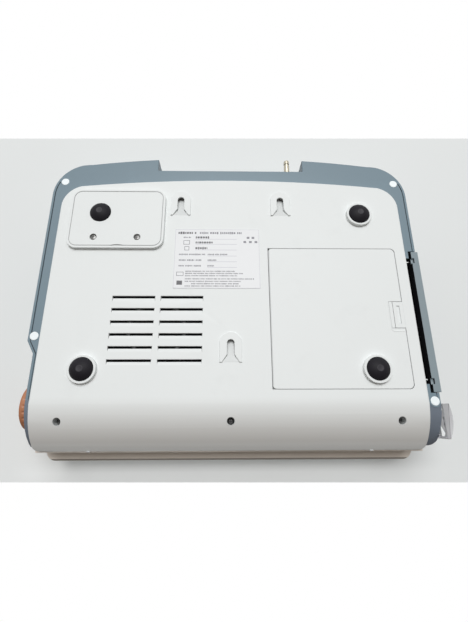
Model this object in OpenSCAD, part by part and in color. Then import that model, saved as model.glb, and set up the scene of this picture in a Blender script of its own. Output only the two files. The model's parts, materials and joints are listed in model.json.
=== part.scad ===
// Desktop patient monitor: white bottom pan, blue-grey skirt, white top housing with a folding screen.
// Millimetres. Stands on its feet at z = 0, +Y is the rear, +X the user's right.

/* [Bottom pan] */
// Half the bottom pan's width
pan_half_w = 170; // [160:0.5:187]
// Length of the pan on the centre line
pan_l = 262.6; // [236:0.2:290]
// Radius of the pan's bowed rear edge
pan_bow = 1471; // [1000:1:2500]
// Radius of the pan's rear corners
pan_corner = 24; // [16:0.5:30]
// Radius of the pan's front corners
pan_front_corner = 5; // [4:0.5:14]
// Thickness of the pan's floor and walls
pan_wall = 2.5; // [1.8:0.1:3.2]
// Height of the pan's walls
pan_h = 22; // [18:0.5:24]
// Run of the curve up to the pan's front
curve_run = 43; // [38:0.5:46]
// Front curve's radius
curve_r = 56; // [52:0.5:64]

/* [Skirt] */
// Width of the skirt's rim at the sides
rim_side_w = 14.5; // [13:0.1:18]
// Width of the skirt's rim at the rear
rim_rear_w = 34.6; // [30:0.2:40]
// Skirt's front behind the pan's front
skirt_front_in = 3; // [1:0.5:8]
// Radius of the skirt's bowed rear edge
skirt_bow = 1116; // [900:1:2000]
// Radius of the skirt's rear corners
skirt_corner = 37; // [30:0.5:44]
// Radius of the skirt's front corners
skirt_front_corner = 6; // [4:0.5:12]
// Skirt's rim above the pan's floor
skirt_rise = 8; // [6:0.5:10]
// Skirt's height
skirt_h = 28; // [25:0.5:34]
// Thickness of the skirt's rim
flange_t = 3; // [2:0.1:4]
// Wall thickness of the skirt and the housing
shell_wall = 2.8; // [2:0.1:3.2]
// Half the width of the rear recess
notch_half_w = 77.3; // [70:0.1:86]
// Rear recess' depth
notch_depth = 16.6; // [14:0.2:18]
// Rear recess above the skirt's rim
notch_h = 54; // [50:0.5:60]
// Right side's step at the front
step_depth = 6.9; // [4:0.1:7.5]
// That step behind the curve
step_in = 52; // [46:0.5:60]
// Length of the step's slope
step_run = 12; // [6:0.5:20]
// Distance of the rim's groove from its edge
groove_in = 2.2; // [1.6:0.1:2.6]
// Width of the rim's groove
groove_w = 0.8; // [0.4:0.1:1.2]
// Depth of the rim's groove
groove_d = 0.9; // [0.4:0.1:1.5]

/* [Top housing] */
// End of the front lip inside the skirt's side
lip_in = 8.5; // [6:0.5:12]
// Front lip before the pan
lip_reach = 11; // [8:0.5:14]
// Lip's corner radius
lip_corner = 10; // [4:0.5:14]
// Housing above the lip's underside
lip_h = 30; // [27:0.5:34]
// Wall under the lip before the pan
waist_gap = 1; // [0.5:0.1:4]
// Lip's underside above the skirt
waist_h = 20; // [17:0.5:24]
// Deck's thickness
deck_t = 2.8; // [2:0.1:3.4]

/* [Feet] */
// Feet inside the pan's side
foot_side_in = 41.7; // [38:0.1:46]
// Rear feet before the pan's rear edge
foot_rear_in = 41; // [38:0.1:45]
// Front feet behind the curve
foot_front_in = 24.7; // [23:0.1:30]
// Foot's radius
foot_r = 10; // [8:0.1:11]
// Height of the pan's floor above the table
foot_h = 8; // [7:0.1:10]
// Radius of a foot's dome
foot_dome_r = 14; // [12.5:0.5:20]
// Depth of the flat on a foot's dome
foot_flat = 0.25; // [0.1:0.05:0.5]
// Radius of a foot's stem
foot_stem_r = 2.5; // [2:0.1:3]
// Length of a foot's stem
foot_stem_h = 5; // [3:0.1:6]
// Depth of a foot's seat in the service cover
foot_seat = 1; // [0.6:0.1:1.5]
// Wall of the ring round a foot
ring_wall = 2.2; // [1.5:0.1:3]
// Height of the ring round a foot
ring_h = 3.5; // [2:0.1:5]

/* [Wall keyholes] */
// Rear keyholes from the centre line
keyhole_x = 50; // [44:0.5:54]
// Rear keyholes from the pan's rear
keyhole_rear_in = 21.4; // [21:0.1:25]
// Front keyhole from the line of the rear pair
keyhole_span = 146.9; // [132:0.1:150]
// Width of a keyhole's slot
keyhole_slot_w = 6.5; // [5:0.1:8]
// Length of a keyhole's slot
keyhole_slot_l = 13.5; // [11:0.5:16]
// Width of a keyhole's open end
keyhole_flare_w = 15.5; // [12:0.5:17.5]
// Length of a keyhole's flare
keyhole_flare_l = 7; // [5:0.5:8]
// Width of a keyhole's raised pad
keyhole_pad_w = 20; // [18:0.5:24]
// Height of a keyhole's raised pad
keyhole_pad_h = 1.2; // [0.6:0.1:2]
// Depth of a slot's closed end
keyhole_depth = 4; // [3:0.1:6]
// Thickness of the lip that holds a screw head
keyhole_lip = 1; // [0.6:0.1:1.6]
// Pad left beside the pocket for a screw head
keyhole_side = 1; // [0.8:0.1:2]

/* [Vents] */
// Centre of the vent slits
vent_x = 67.2; // [60:0.1:72]
// Gap between the two columns of slits
vent_gap = 5.7; // [4:0.1:8]
// Slit's length
vent_l = 38.6; // [34:0.1:42]
// First row of slits behind the curve
vent_front_in = 31.5; // [30:0.1:36]
// Spacing of the rows of slits
vent_pitch = 11.8; // [10:0.01:12.8]
// Slit's width
vent_w = 1.9; // [1.2:0.1:2.6]
// Length of the slope before a slit
vent_ramp = 3; // [1.5:0.1:4]
// Depth of the slope at a slit
vent_ramp_d = 1.3; // [0.6:0.1:2]
// Number of rows of slits
vent_rows = 6; // [3:1:6]

/* [Label] */
// Label from the battery door
label_gap = 8.3; // [6:0.1:12]
// Label before the rear keyholes
label_rear_gap = 15.8; // [10:0.1:17]
// Label's width
label_w = 82; // [70:0.5:88]
// Label's length
label_l = 62; // [54:0.5:66]
// Label's corner radius
label_r = 1; // [0.5:0.1:4]
// Label's thickness
label_t = 0.3; // [0.2:0.05:0.5]

/* [Service cover] */
// Cover from the keyhole's pad
cover_gap = 5; // [3:0.5:12]
// Cover inside the pan's side
cover_side_in = 12; // [8:0.5:16]
// Cover before the pan's rear edge
cover_rear_in = 14.6; // [12:0.1:20]
// Cover's length
cover_l = 65; // [58:0.5:72]
// Cover's corner radius
cover_r = 10; // [6:0.5:14]
// Cover's thickness
cover_t = 3.5; // [2.8:0.1:4.5]
// Seam line inside the cover's edge
cover_seam_in = 2.2; // [1.5:0.1:4]
// Seam line's width
cover_seam_w = 0.5; // [0.3:0.1:0.8]
// Seam line's depth
cover_seam_d = 0.6; // [0.3:0.1:1]
// Hole behind the cover from the cover's sides
hatch_side_in = 11.5; // [9:0.5:16]
// Hole behind the cover from the cover's front
hatch_front_in = 22.5; // [20:0.5:26]
// Hole behind the cover from the cover's rear
hatch_rear_in = 14; // [11:0.5:18]
// Radius of that hole's corners
hatch_r = 4; // [2:0.5:8]
// Wall round that hole
hatch_rim = 2; // [1.5:0.1:3]
// Cover screws from the cover's centre
cover_screw_x = 21; // [17:0.5:28]
// Cover screws behind the cover's front edge
cover_screw_in = 11.5; // [9:0.5:14]
// Cover screw's radius
cover_screw_r = 1.5; // [1:0.1:2]
// Reach of a cover screw into the pan
cover_screw_l = 8; // [5:0.5:10]
// Radius of a cover screw's head
cover_head_r = 3; // [2.4:0.1:3.6]
// Height of a cover screw's head
cover_head_h = 1.4; // [1:0.1:1.8]
// Depth of a cover screw's seat
cover_sink = 1.8; // [1.5:0.1:2.2]
// Finger notch's radius
finger_r = 21; // [14:0.5:30]
// Finger notch behind the seam line
finger_out = 1.3; // [0.8:0.1:2]
// Finger notch from the cover's centre
finger_side = 2.5; // [0:0.5:6]
// Finger notch's depth
finger_d = 0.9; // [0.6:0.1:1.6]

/* [Battery bay] */
// Battery door inside the pan's side
door_side_in = 10.8; // [9:0.1:14]
// Battery door behind the curve
door_front_in = 7.8; // [6:0.1:10]
// Battery door's width
door_w = 123; // [110:0.5:132]
// Battery door's length
door_l = 133.6; // [118:0.2:146]
// Door's corner radius
door_r = 4; // [2:0.5:6]
// Door's thickness
door_t = 4; // [3.4:0.1:5]
// Ledge that the door closes on
door_ledge = 4; // [3:0.1:6]
// Radius of the door's hinge pins
door_pin_r = 1.2; // [0.8:0.1:1.5]
// Length of the door's hinge pins
door_pin_l = 4; // [3:0.1:5]
// Half the width of a hinge pin's boss
pin_boss = 4; // [3.2:0.1:5]
// Latch's width
latch_w = 9; // [8:0.1:11]
// Latch's length
latch_l = 25; // [20:0.5:32]
// Latch's thickness
latch_t = 3; // [2.4:0.1:3.2]
// Latch's travel
latch_travel = 3; // [2:0.1:4]
// Latch outside its neck
latch_neck = 3; // [2:0.1:4]
// Width of the latch's grip
grip_w = 2.5; // [1.5:0.1:3.5]
// Grip from the latch's ends
grip_end = 4; // [2:0.5:6]
// Depth of the latch's grip
grip_d = 1; // [0.5:0.1:1.5]
// Width of the latch's tongue
tongue_w = 8; // [6:0.5:12]
// Thickness of the latch's tongue
tongue_t = 2; // [1.5:0.1:3]
// Battery from the bay's ledge
battery_gap = 5; // [2:0.5:10]
// Battery's corner radius
battery_r = 3; // [1:0.5:6]
// Battery's height
battery_h = 22; // [19:0.5:24]
// Room above and below the battery
battery_free = 3; // [2:0.1:4]
// Wall of the battery bay
bay_wall = 2; // [1.5:0.1:2.5]

/* [Fasteners] */
// Front screws inside the pan's sides
front_screw_in = 24; // [20:0.5:30]
// Front screws behind the pan's front edge
front_screw_y_in = 24.6; // [22:0.1:27]
// Radius of a front screw's well
front_bore_r = 3.1; // [3:0.1:4.2]
// Wall of a front screw's well
front_tube_wall = 2; // [1.5:0.1:2.6]
// Seat of the front screws above the rim
front_head_rise = 4; // [2:0.5:8]
// Floor of a front screw's well
front_seat_t = 3; // [2:0.1:4]
// Rear rim screws inside the skirt's side
rim_rear_in = 11; // [9.5:0.1:12]
// Rear rim screws before the skirt's rear
rim_rear_y_in = 31.9; // [30:0.1:36]
// Right rim screw inside the skirt's side
rim_edge_in = 5.4; // [5:0.1:5.8]
// Right rim screw behind the step
rim_step_gap = 4.3; // [3:0.1:10]
// Left rim screw inside the skirt's side
rim_left_in = 4.9; // [4.7:0.1:5.4]
// Left rim plug from the printer door's pin
plug_gap = 0.8; // [0.6:0.1:1.2]
// Rim plug's radius
plug_r = 4; // [3.5:0.1:4.4]
// Rim plug's length
plug_l = 5; // [3:0.1:8]
// Plug's height out of the rim
plug_proud = 0.3; // [0.1:0.1:0.8]
// Wall round a plug
plug_wall = 1.4; // [1:0.1:2]
// Seat of the rim screws below the skirt's top
rim_shoulder = 4; // [3:0.1:6]
// Housing screw's radius
screw_r = 2; // [1.6:0.1:2.3]
// Radius of a housing screw's head
screw_head_r = 2.9; // [2.6:0.1:3]
// Height of a housing screw's head
screw_head_h = 3; // [2.4:0.1:3.4]
// Housing screw's length
screw_l = 12; // [8:0.5:14]
// Wall round a housing screw
screw_boss = 3; // [2:0.1:3.4]
// Half the length of a screw's cross slot
slot_half_l = 1.8; // [1.4:0.1:2.2]
// Half the width of a screw's cross slot
slot_half_w = 0.45; // [0.3:0.05:0.6]
// Depth of a screw's cross slot
slot_d = 1.6; // [1:0.1:2]

/* [Rear panel] */
// Rear panel inside the recess
panel_side_in = 3.3; // [2.5:0.1:6]
// Rear panel from the recess's floor and roof
panel_gap = 1; // [0.5:0.1:2]
// Connectors above the panel's lower edge
connectors_z = 26; // [24:0.5:28]
// Width of a connector's flange
flange_w = 1.5; // [1:0.1:2]
// Thickness of a connector's flange
flange_out = 1.2; // [0.8:0.1:2]
// Mains inlet from the fuse holders
inlet_gap = 30; // [27:0.5:34]
// Mains inlet's width
inlet_w = 28; // [26:0.5:31]
// Mains inlet's height
inlet_h = 20; // [18:0.5:23]
// Mains inlet's depth
inlet_l = 20; // [18:0.5:23]
// Wall of the mains inlet
inlet_wall = 2; // [1.5:0.1:2.5]
// Back wall of the mains inlet
inlet_back = 3; // [2:0.1:4]
// Outer blades from the inlet's centre
blade_gap = 7; // [6:0.1:8]
// Blades above and below the inlet's centre
blade_rise = 2; // [1.5:0.1:2.5]
// Blade's thickness
blade_w = 2; // [1.5:0.1:2.5]
// Blade's width
blade_h = 5; // [4:0.1:6]
// Blade's length
blade_l = 9; // [7:0.1:11]
// Power switch across
switch_x = -8; // [-10:0.5:-6]
// Power switch's width
switch_w = 12; // [10:0.5:13.5]
// Power switch's height
switch_h = 22; // [19:0.5:24]
// Depth of the power switch's frame
switch_l = 15; // [13.5:0.5:17]
// Wall of the switch's frame
switch_side = 2; // [1.8:0.1:2.4]
// Frame above and below the rocker
switch_end = 3; // [2.5:0.1:4]
// Rocker's axis behind the panel
switch_in = 5; // [4:0.1:5.6]
// Radius of the rocker's pins
switch_pin_r = 1.5; // [1:0.1:2]
// Length of the rocker's pins
switch_pin_l = 1.4; // [1:0.1:1.5]
// Half the height of the rocker's root
rocker_root = 4; // [3:0.1:5]
// Hollow of the rocker's face
rocker_dish = 1.6; // [1:0.1:2]
// Thickness of the rocker's ends
rocker_edge = 2.2; // [1.5:0.1:3]
// Network socket across
net_x = -38; // [-41:0.5:-35]
// Network socket's width
net_w = 16; // [14.5:0.5:18]
// Network socket's height
net_h = 14; // [13:0.5:16]
// Network socket's depth
net_l = 18; // [16:0.5:21]
// Wall of the network socket
net_wall = 2; // [1.5:0.1:2.4]
// Back wall of the network socket
net_back = 4; // [3:0.1:5]
// How far the network socket stands out
net_out = 0.8; // [0.4:0.1:1.2]
// Fuse holders inside the panel's end
fuse_in = 14; // [12:0.5:17]
// Fuse holder's radius
fuse_r = 6.5; // [5.5:0.1:7.2]
// Fuse holder's depth
fuse_l = 16; // [14:0.5:20]
// Thickness of a fuse holder's cap
fuse_cap = 2; // [1.5:0.1:3]
// Length of a fuse cap's slot
fuse_slot_l = 10; // [8:0.5:12]
// Width of a fuse cap's slot
fuse_slot_w = 1.2; // [0.8:0.1:1.6]
// Spacing of the fuse holders
fuse_pitch = 18; // [17.5:0.5:21]
// Earth post inside the panel's end
post_in = 11.8; // [10:0.1:14]
// Earth post above the panel's lower edge
post_rise = 5.4; // [5:0.1:8]
// Earth post's radius
post_r = 3; // [2.4:0.1:3.2]
// Earth post outside's length
post_l = 20.4; // [18:0.2:22]
// Length of the earth post inside
post_tail = 8; // [6:0.5:12]
// Wall of the post's nuts
post_hex = 1.6; // [1.4:0.1:2.2]
// Thickness of the post's nuts
post_nut_t = 2.5; // [2:0.1:4]
// Groove from the post's tip
post_groove_in = 4.6; // [4:0.1:6]
// Width of the post's groove
post_groove_w = 2.4; // [1.6:0.1:3]
// Depth of the post's groove
post_groove_d = 0.6; // [0.3:0.1:1]

/* [Right side] */
// Knob's axis before the curve's start
knob_in = 4.3; // [2:0.1:8]
// Knob's axis above the lip's underside
knob_rise = 1.3; // [0:0.1:3]
// Control knob's radius
knob_r = 22.6; // [19:0.1:25]
// Control knob out of the side
knob_reach = 20.4; // [17:0.1:24]
// Knob from the side
knob_gap = 1; // [0.6:0.1:2]
// Radius of the knob's shaft
knob_shaft_r = 3; // [2.5:0.1:4]
// Rim of the knob's face
knob_rim = 5; // [3:0.5:8]
// Depth of the knob's face
knob_dish = 1.2; // [0.6:0.1:2]
// Number of flutes round the knob
knob_flutes = 24; // [12:1:30]
// Flute's radius
flute_r = 1.7; // [1.2:0.1:2.2]
// Centre of a flute outside the knob
flute_out = 0.9; // [0.5:0.1:1.4]
// Flutes from the knob's ends
flute_end = 3; // [2:0.1:5]
// Width of the encoder behind the knob
encoder_w = 18; // [15:0.5:20]
// Encoder's depth
encoder_l = 14; // [12:0.5:17]
// Back wall of the encoder
encoder_back = 3; // [2:0.1:4]
// Middle of the socket panel behind the step
sockets_in = 80; // [76:0.5:84]
// Row of sockets above the skirt
sockets_rise = 24; // [21:0.5:27]
// Socket panel's height
sockets_h = 32; // [28:0.5:35]
// Last socket from the panel's end
socket_margin = 14; // [11:0.5:16]
// Spacing of the sockets
socket_pitch = 24; // [20:0.5:26]
// Radius of a socket's body
socket_r = 7.5; // [6.6:0.1:8.2]
// Radius of a socket's bore
socket_bore_r = 5; // [4:0.1:5.8]
// Radius of a socket's flange
socket_flange_r = 9; // [8.4:0.1:10]
// Thickness of a socket's flange
socket_flange_t = 1.3; // [0.8:0.1:2]
// Floor of a socket
socket_back = 3; // [2:0.1:4]
// Socket's length
socket_l = 16; // [14:0.5:18]
// Number of sockets
socket_count = 5; // [3:1:5]

/* [Printer] */
// Printer door behind the curve's start
pdoor_in = 5; // [4:0.1:8]
// Printer door's length
pdoor_l = 138; // [122:0.5:152]
// Printer door out of the side
pdoor_proud = 2.4; // [2:0.1:3.4]
// Printer door's thickness
pdoor_t = 3; // [2.4:0.1:3.4]
// Width of the bar at the door's foot
pdoor_bar_w = 7; // [6:0.1:7.2]
// Height of the bar at the door's foot
pdoor_bar_h = 8; // [7:0.1:9]
// Printer door's height
pdoor_h = 58; // [54:0.5:60]
// Radius of the door's hinge pins
pdoor_pin_r = 1.2; // [0.8:0.1:1.5]
// Length of the door's hinge pins
pdoor_pin_l = 2.4; // [1.8:0.1:2.8]
// Hinge axis from the door's face
pdoor_axis_in = 4.9; // [4.4:0.1:5.2]
// Door's hinge ears above the axis
pdoor_ear = 6; // [4:0.5:8]
// Paper slot above the door
exit_gap = 2; // [1.5:0.1:4]
// Thickness of the door's liner
liner_t = 1.5; // [1:0.1:2]
// Liner inside the door's ends
liner_in = 6; // [4:0.5:10]
// Liner above the door's bar
liner_rise = 9; // [8.5:0.5:12]
// Liner below the door's top
liner_top = 4; // [3:0.5:8]
// Thickness of the rail behind the door
rail_t = 3; // [2:0.1:3.4]
// Rail past the door's ends
rail_end = 12; // [8:0.5:14]
// Door clip's radius
clip_r = 2.1; // [1.6:0.1:2.4]
// Door clip's thickness
clip_wall = 0.9; // [0.6:0.1:1.2]
// Door clip's height
clip_h = 3.2; // [2:0.1:5]
// Door clips above the rim
clip_rise = 0.8; // [0.5:0.1:2]
// Door clips from the door's ends
clip_inset = 10; // [8:0.5:20]
// Half the bar's notch at a clip
clip_notch = 2.5; // [2:0.1:3.5]
// Door button behind the pan's front edge
button_in = 24; // [23:0.1:27]
// Door button's length
button_l = 30; // [26:0.5:32]
// Door button above the rim
button_rise = 16; // [15:0.5:18]
// Door button's height
button_h = 24; // [21:0.5:26]
// Door button out of the side
button_reach = 11; // [10.4:0.1:12.4]
// Door button's depth
button_depth = 7.7; // [6.4:0.1:8]
// Radius of the button's rounded face
button_crown_r = 40; // [36:0.5:50]
// That face's middle, rearward
button_crown_in = 4; // [0:0.5:5]
// Wall of the door button
button_wall = 1.6; // [1.2:0.1:2.2]
// Radius of the button's stem
button_stem_r = 4; // [3:0.1:5]
// Door button's travel
button_travel = 3; // [2:0.1:3.2]
// Paper roll's radius
paper_r = 18; // [14:0.5:20]
// Paper's width
paper_l = 110; // [90:1:112]
// Paper roll from the platen roller
paper_gap = 0.83; // [0.5:0.01:2]
// Paper spindle's radius
spindle_r = 6; // [4:0.5:8]
// Wall of the printer's bay
pbay_wall = 2; // [1.5:0.1:2.5]
// Printer's bay inside the door's ends
pbay_end = 2; // [1.5:0.1:3]
// Printer's bay from the paper at the door
pbay_front = 2; // [1.5:0.1:2.5]
// Printer's bay from the paper's back
pbay_under = 3; // [2.6:0.1:4]
// Printer's bay above the battery bay
pbay_gap = 1.7; // [1:0.1:3]
// Platen roller's axis inside the side
platen_in = 13.5; // [13:0.1:15]
// Platen roller's radius
platen_r = 5; // [4.2:0.1:5.4]
// Platen roller from the bay's walls
platen_end = 8; // [5:0.5:12]
// Radius of the platen's shaft
platen_shaft_r = 2.5; // [2:0.1:3]
// Print head from the bay's ends
head_end = 10; // [8:0.5:14]
// Print head below the platen's axis
head_low = 4; // [3:0.1:5]
// Print head above the platen's axis
head_high = 6; // [4:0.1:8]
// Module of the feed gears
gear_module = 0.7; // [0.6:0.02:0.74]
// Teeth on the platen's gear
platen_teeth = 24; // [20:2:24]
// Teeth on the motor's pinion
pinion_teeth = 12; // [10:2:12]
// Feed gears' width
gear_w = 5; // [4:0.5:6]
// Feed gears from the bay and the motor
gear_gap = 1; // [0.6:0.1:2]
// Feed motor's radius
motor_r = 9; // [7:0.5:9.4]
// Feed motor's length
motor_l = 22; // [18:0.5:26]
// How far the motor lies below the platen
motor_drop = 1; // [0.5:0.1:2]
// Half the width of the motor's bracket
motor_lug = 5; // [4:0.5:7]
// Radius of the motor's shaft
motor_shaft_r = 1.5; // [1:0.1:2]
// Length of the shaft in the motor
motor_shaft_l = 10; // [8:0.5:11]

/* [Screen] */
// Screen's tray from the printer's bay
screen_side_gap = 2.5; // [1.5:0.1:6]
// Screen before the skirt's rear edge
screen_rear_in = 38.2; // [36:0.2:44]
// Screen's thickness
screen_t = 22; // [19:0.5:25]
// Wall of the screen's shell
screen_wall = 2.2; // [1.6:0.1:3]
// Screen's corner radius
screen_r = 8; // [4:0.5:14]
// Height of the screen above the deck
screen_rise = 6; // [5.2:0.1:8]
// Screen's bosses from its edges
screen_boss_in = 30; // [20:0.5:40]
// Radius of the screen's bosses
screen_boss_r = 4; // [3:0.1:6]
// Thickness of the screen's frame
bezel_t = 3; // [2.8:0.1:4]
// Width of the screen's frame
bezel_w = 6; // [5:0.5:10]
// Thickness of the screen's glass
glass_t = 2.6; // [1.5:0.1:2.8]
// Display's thickness
lcd_t = 9; // [6:0.5:11]
// Display from the screen's shell
lcd_gap = 2; // [1:0.1:4]
// Screen hinge's axis behind the curve's start
hinge_in = 13; // [12:0.1:20]
// Screen behind its hinge's axis
hinge_to_screen = 4.5; // [4.3:0.1:6]
// Screen hinge's axis below the screen's top
hinge_drop = 4.5; // [4.3:0.1:5.5]
// Radius of the hinge's knuckles
hinge_r = 4; // [3.4:0.1:4.2]
// Radius of the hinge's pins
hinge_pin_r = 2; // [1.4:0.1:2.4]
// Screen hinges from the centre line
hinge_x = 93; // [80:0.5:100]
// Width of a hinge's arm
hinge_arm_w = 10; // [8:0.5:14]
// Width of a hinge's bracket
hinge_ear_w = 11; // [8:0.5:14]
// Height of a hinge's bracket
hinge_foot = 8; // [6:0.5:10]
// Alarm lamp's width
lamp_w = 60; // [30:1:90]
// Alarm lamp's depth
lamp_l = 3; // [2:0.1:4]
// Alarm lamp below the screen's frame
lamp_sink = 0.2; // [0.1:0.1:0.6]
// Wall of the tray under the screen
tray_wall = 2; // [1.6:0.1:2.6]

/* [Keys] */
// Row of keys behind the lip's front
key_in = 26; // [22:0.5:30]
// Key's width
key_w = 26; // [22:0.5:29]
// Key's length
key_l = 12; // [10:0.5:14]
// Radius of a key's corners
key_r = 2.5; // [1:0.1:4]
// Gap between keys
key_gap = 9; // [7:0.5:11]
// Gap between the two middle keys
key_middle = 34; // [28:0.5:40]
// Height of a key above the deck
key_rise = 2.5; // [2:0.1:4]
// Key's travel
key_travel = 1.5; // [1:0.1:1.8]
// Width of a key's rim under the deck
key_rim = 1.5; // [1:0.1:2]
// Thickness of a key's rim
key_rim_t = 1.2; // [0.8:0.1:1.6]
// Radius of a key's stem and posts
key_post_r = 2; // [1.5:0.1:2.4]
// Board's posts from a key
key_post_gap = 5; // [4:0.1:6]
// Key board below the keys' rims
key_drop = 7; // [6.5:0.1:9]
// Width of a key's switch
key_switch = 6; // [5:0.5:8]
// Height of a key's switch
key_switch_h = 3; // [2.5:0.1:4]
// Key board past the last key
key_board_end = 10; // [6:0.5:14]
// Key board past the posts' centres
key_board_edge = 2; // [1.5:0.1:3]

/* [Boards] */
// Circuit board's thickness
board_t = 1.6; // [1.2:0.1:2]
// Boards above the pan's floor
board_lift = 31.5; // [28:0.5:34]
// Boards from the battery bay
board_gap = 10.2; // [8:0.1:14]
// Main board from the pan's side
board_edge = 10; // [7:0.5:14]
// Main board behind the curve's start
main_front_in = 14; // [12:0.5:16]
// Main board from the boards behind it
main_gap = 9; // [5:0.5:14]
// Power supply from the mains inlet
supply_gap = 0.6; // [0.5:0.1:3]
// Power supply's width
supply_w = 84; // [76:0.5:92]
// Power supply's length
supply_l = 75; // [68:0.5:78]
// Measuring module from the power supply
module_gap = 6; // [4:0.5:10]
// Measuring module from the pan's side
module_edge = 6; // [5:0.5:10]
// Measuring module from the pan's rear
module_rear_in = 15.6; // [15:0.1:22]
// Measuring module's length
module_l = 62; // [56:0.5:66]
// Measuring module's height
module_h = 18; // [14:0.5:22]
// Standoffs from a board's corner
corner_in = 5.5; // [5:0.1:8]
// Standoff's radius
standoff_r = 3; // [2:0.1:4]
// Processor from the main board's corner
chip_in = 36; // [30:0.5:44]
// Width of the processor's heat sink
chip_w = 34; // [28:0.5:40]
// Height of the processor's heat sink
chip_h = 6; // [4:0.5:10]
// Width of the main board's connector
plug_block_w = 40; // [30:0.5:46]
// Length of the main board's connector
plug_block_l = 20; // [14:0.5:24]
// Height of the main board's connector
plug_block_h = 8; // [6:0.5:10]
// Transformer from the power supply's corner
coil_in = 24; // [22:0.5:28]
// Transformer's width
coil_w = 34; // [28:0.5:38]
// Transformer's height
coil_h = 20; // [16:0.5:24]
// Capacitors from the power supply's edge
can_in = 13; // [10:0.5:15]
// Capacitor's radius
can_r = 8; // [6:0.5:9]
// Capacitor's height
can_h = 22; // [18:0.5:24]
// Spacing of the capacitors
can_pitch = 22; // [19:0.5:26]
// Speaker's radius
speaker_r = 27; // [23:0.5:29]
// Speaker's height
speaker_h = 14; // [10:0.5:18]
// Rim of the speaker
speaker_rim = 3; // [2:0.1:5]
// Depth of the speaker's cone
speaker_cone = 4; // [3:0.1:6]

/* [Clearances] */
// Gap between fitted pieces
fit = 0.3; // [0.2:0.05:0.35]
// Pan's gap to the skirt
pan_gap = 0.4; // [0.3:0.05:0.6]
// Gap round a shaft or pin
run = 0.05; // [0.03:0.01:0.1]
// Gap round a door or the screen
seam = 0.5; // [0.4:0.1:0.7]

/* [Hidden] */
$fn = 96;

white = [0.88, 0.89, 0.88];
pale = [0.80, 0.81, 0.81];
paper_white = [0.95, 0.95, 0.93];
grey = [0.53, 0.60, 0.63];
metal_grey = [0.60, 0.62, 0.63];
dark_grey = [0.30, 0.31, 0.33];
black = [0.08, 0.08, 0.09];
rubber = [0.13, 0.13, 0.15];
steel = [0.72, 0.72, 0.70];
nickel = [0.66, 0.62, 0.52];
board_green = [0.10, 0.33, 0.20];
switch_green = [0.12, 0.30, 0.16];
orange = [0.85, 0.45, 0.22];
amber = [0.90, 0.62, 0.20];
clear = [0.85, 0.80, 0.78, 0.5];

// Reach of a cut past the faces it opens, and of a box that has no end.
cut = 1;
big = 400;
corner_slack = 0.3;

// Plan of the housing, from the pan's front edge.
pan_front = -145;
pan_rear = pan_front + pan_l;
curve_y = pan_front + curve_run;
skirt_half_w = pan_half_w + rim_side_w;
skirt_rear = pan_rear + rim_rear_w;
skirt_front = pan_front + skirt_front_in;
notch_y = skirt_rear - notch_depth;
step_y = curve_y + step_in;
front_wall_x = skirt_half_w - step_depth;
lip_half_w = skirt_half_w - lip_in;
lip_front = pan_front - lip_reach;
waist_front = pan_front - waist_gap;

// Heights, from the table up.
pan_z = foot_h;
pan_in_z = pan_z + pan_wall;
pan_top = pan_z + pan_h;
pad_z = pan_z - ring_h;
cover_z = pan_z - cover_t;
curve_z = pan_z + curve_r;
rim_z = pan_z + skirt_rise;
split_z = rim_z + skirt_h;
lip_z = split_z + waist_h;
deck_z = lip_z + lip_h;
deck_under = deck_z - deck_t;
notch_top = rim_z + notch_h;
screen_top = deck_z + screen_rise;

// Battery door, with its left and front edges against the pan's.
latch_x0 = -(pan_half_w - door_side_in);
door_right = latch_x0 + door_w;
door_y0 = curve_y + door_front_in;
door_y1 = door_y0 + door_l;
latch_y = (door_y0 + door_y1) / 2;
door_axis_x = door_right - door_t / 2;
door_axis_z = pan_z + door_t / 2;
door_in_z = pan_z + door_t + fit;
bay_top = door_in_z + battery_h + battery_free;

// Things on the pan's underside.
foot_x = pan_half_w - foot_side_in;
foot_rear_y = pan_rear - foot_rear_in;
foot_front_y = curve_y + foot_front_in;
keyhole_rear_y = pan_rear - keyhole_rear_in;
keyhole_front_y = keyhole_rear_y - keyhole_span;
keyhole_end = keyhole_slot_l + keyhole_flare_l;
vent_y = curve_y + vent_front_in;
label_x0 = door_right + label_gap;
label_y1 = keyhole_rear_y - keyhole_end - label_rear_gap;
cover_x0 = max(keyhole_x + keyhole_pad_w / 2, label_x0 + label_w) + cover_gap;
cover_x1 = pan_half_w - cover_side_in;
cover_x = (cover_x0 + cover_x1) / 2;
cover_y1 = pan_rear - cover_rear_in;
cover_y0 = cover_y1 - cover_l;
front_screw_x = pan_half_w - front_screw_in;
front_screw_y = pan_front + front_screw_y_in;
front_seat_z = rim_z + front_head_rise;
front_boss_z = front_seat_z + front_seat_t;
rim_shoulder_z = split_z - rim_shoulder;

// Printer door on the left side.
pdoor_x = -(skirt_half_w + pdoor_proud);
pdoor_y0 = curve_y + pdoor_in;
pdoor_y1 = pdoor_y0 + pdoor_l;
pdoor_top = rim_z + pdoor_h;
pdoor_axis_x = pdoor_x + pdoor_axis_in;
pdoor_axis_z = rim_z + pdoor_bar_h / 2;
rail_x = -(pan_half_w + pan_gap);
clip_x = rail_x - rail_t - clip_r;
bar_sweep = norm([pdoor_bar_w - pdoor_axis_in, pdoor_bar_h / 2]);
tab_l = clip_inset - clip_r - fit;
button_face_x = -(skirt_half_w + button_reach);
button_y = pan_front + button_in;
button_z = rim_z + button_rise;

// Printer behind that door.
pbay_z = bay_top + bay_wall + pbay_gap;
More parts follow.
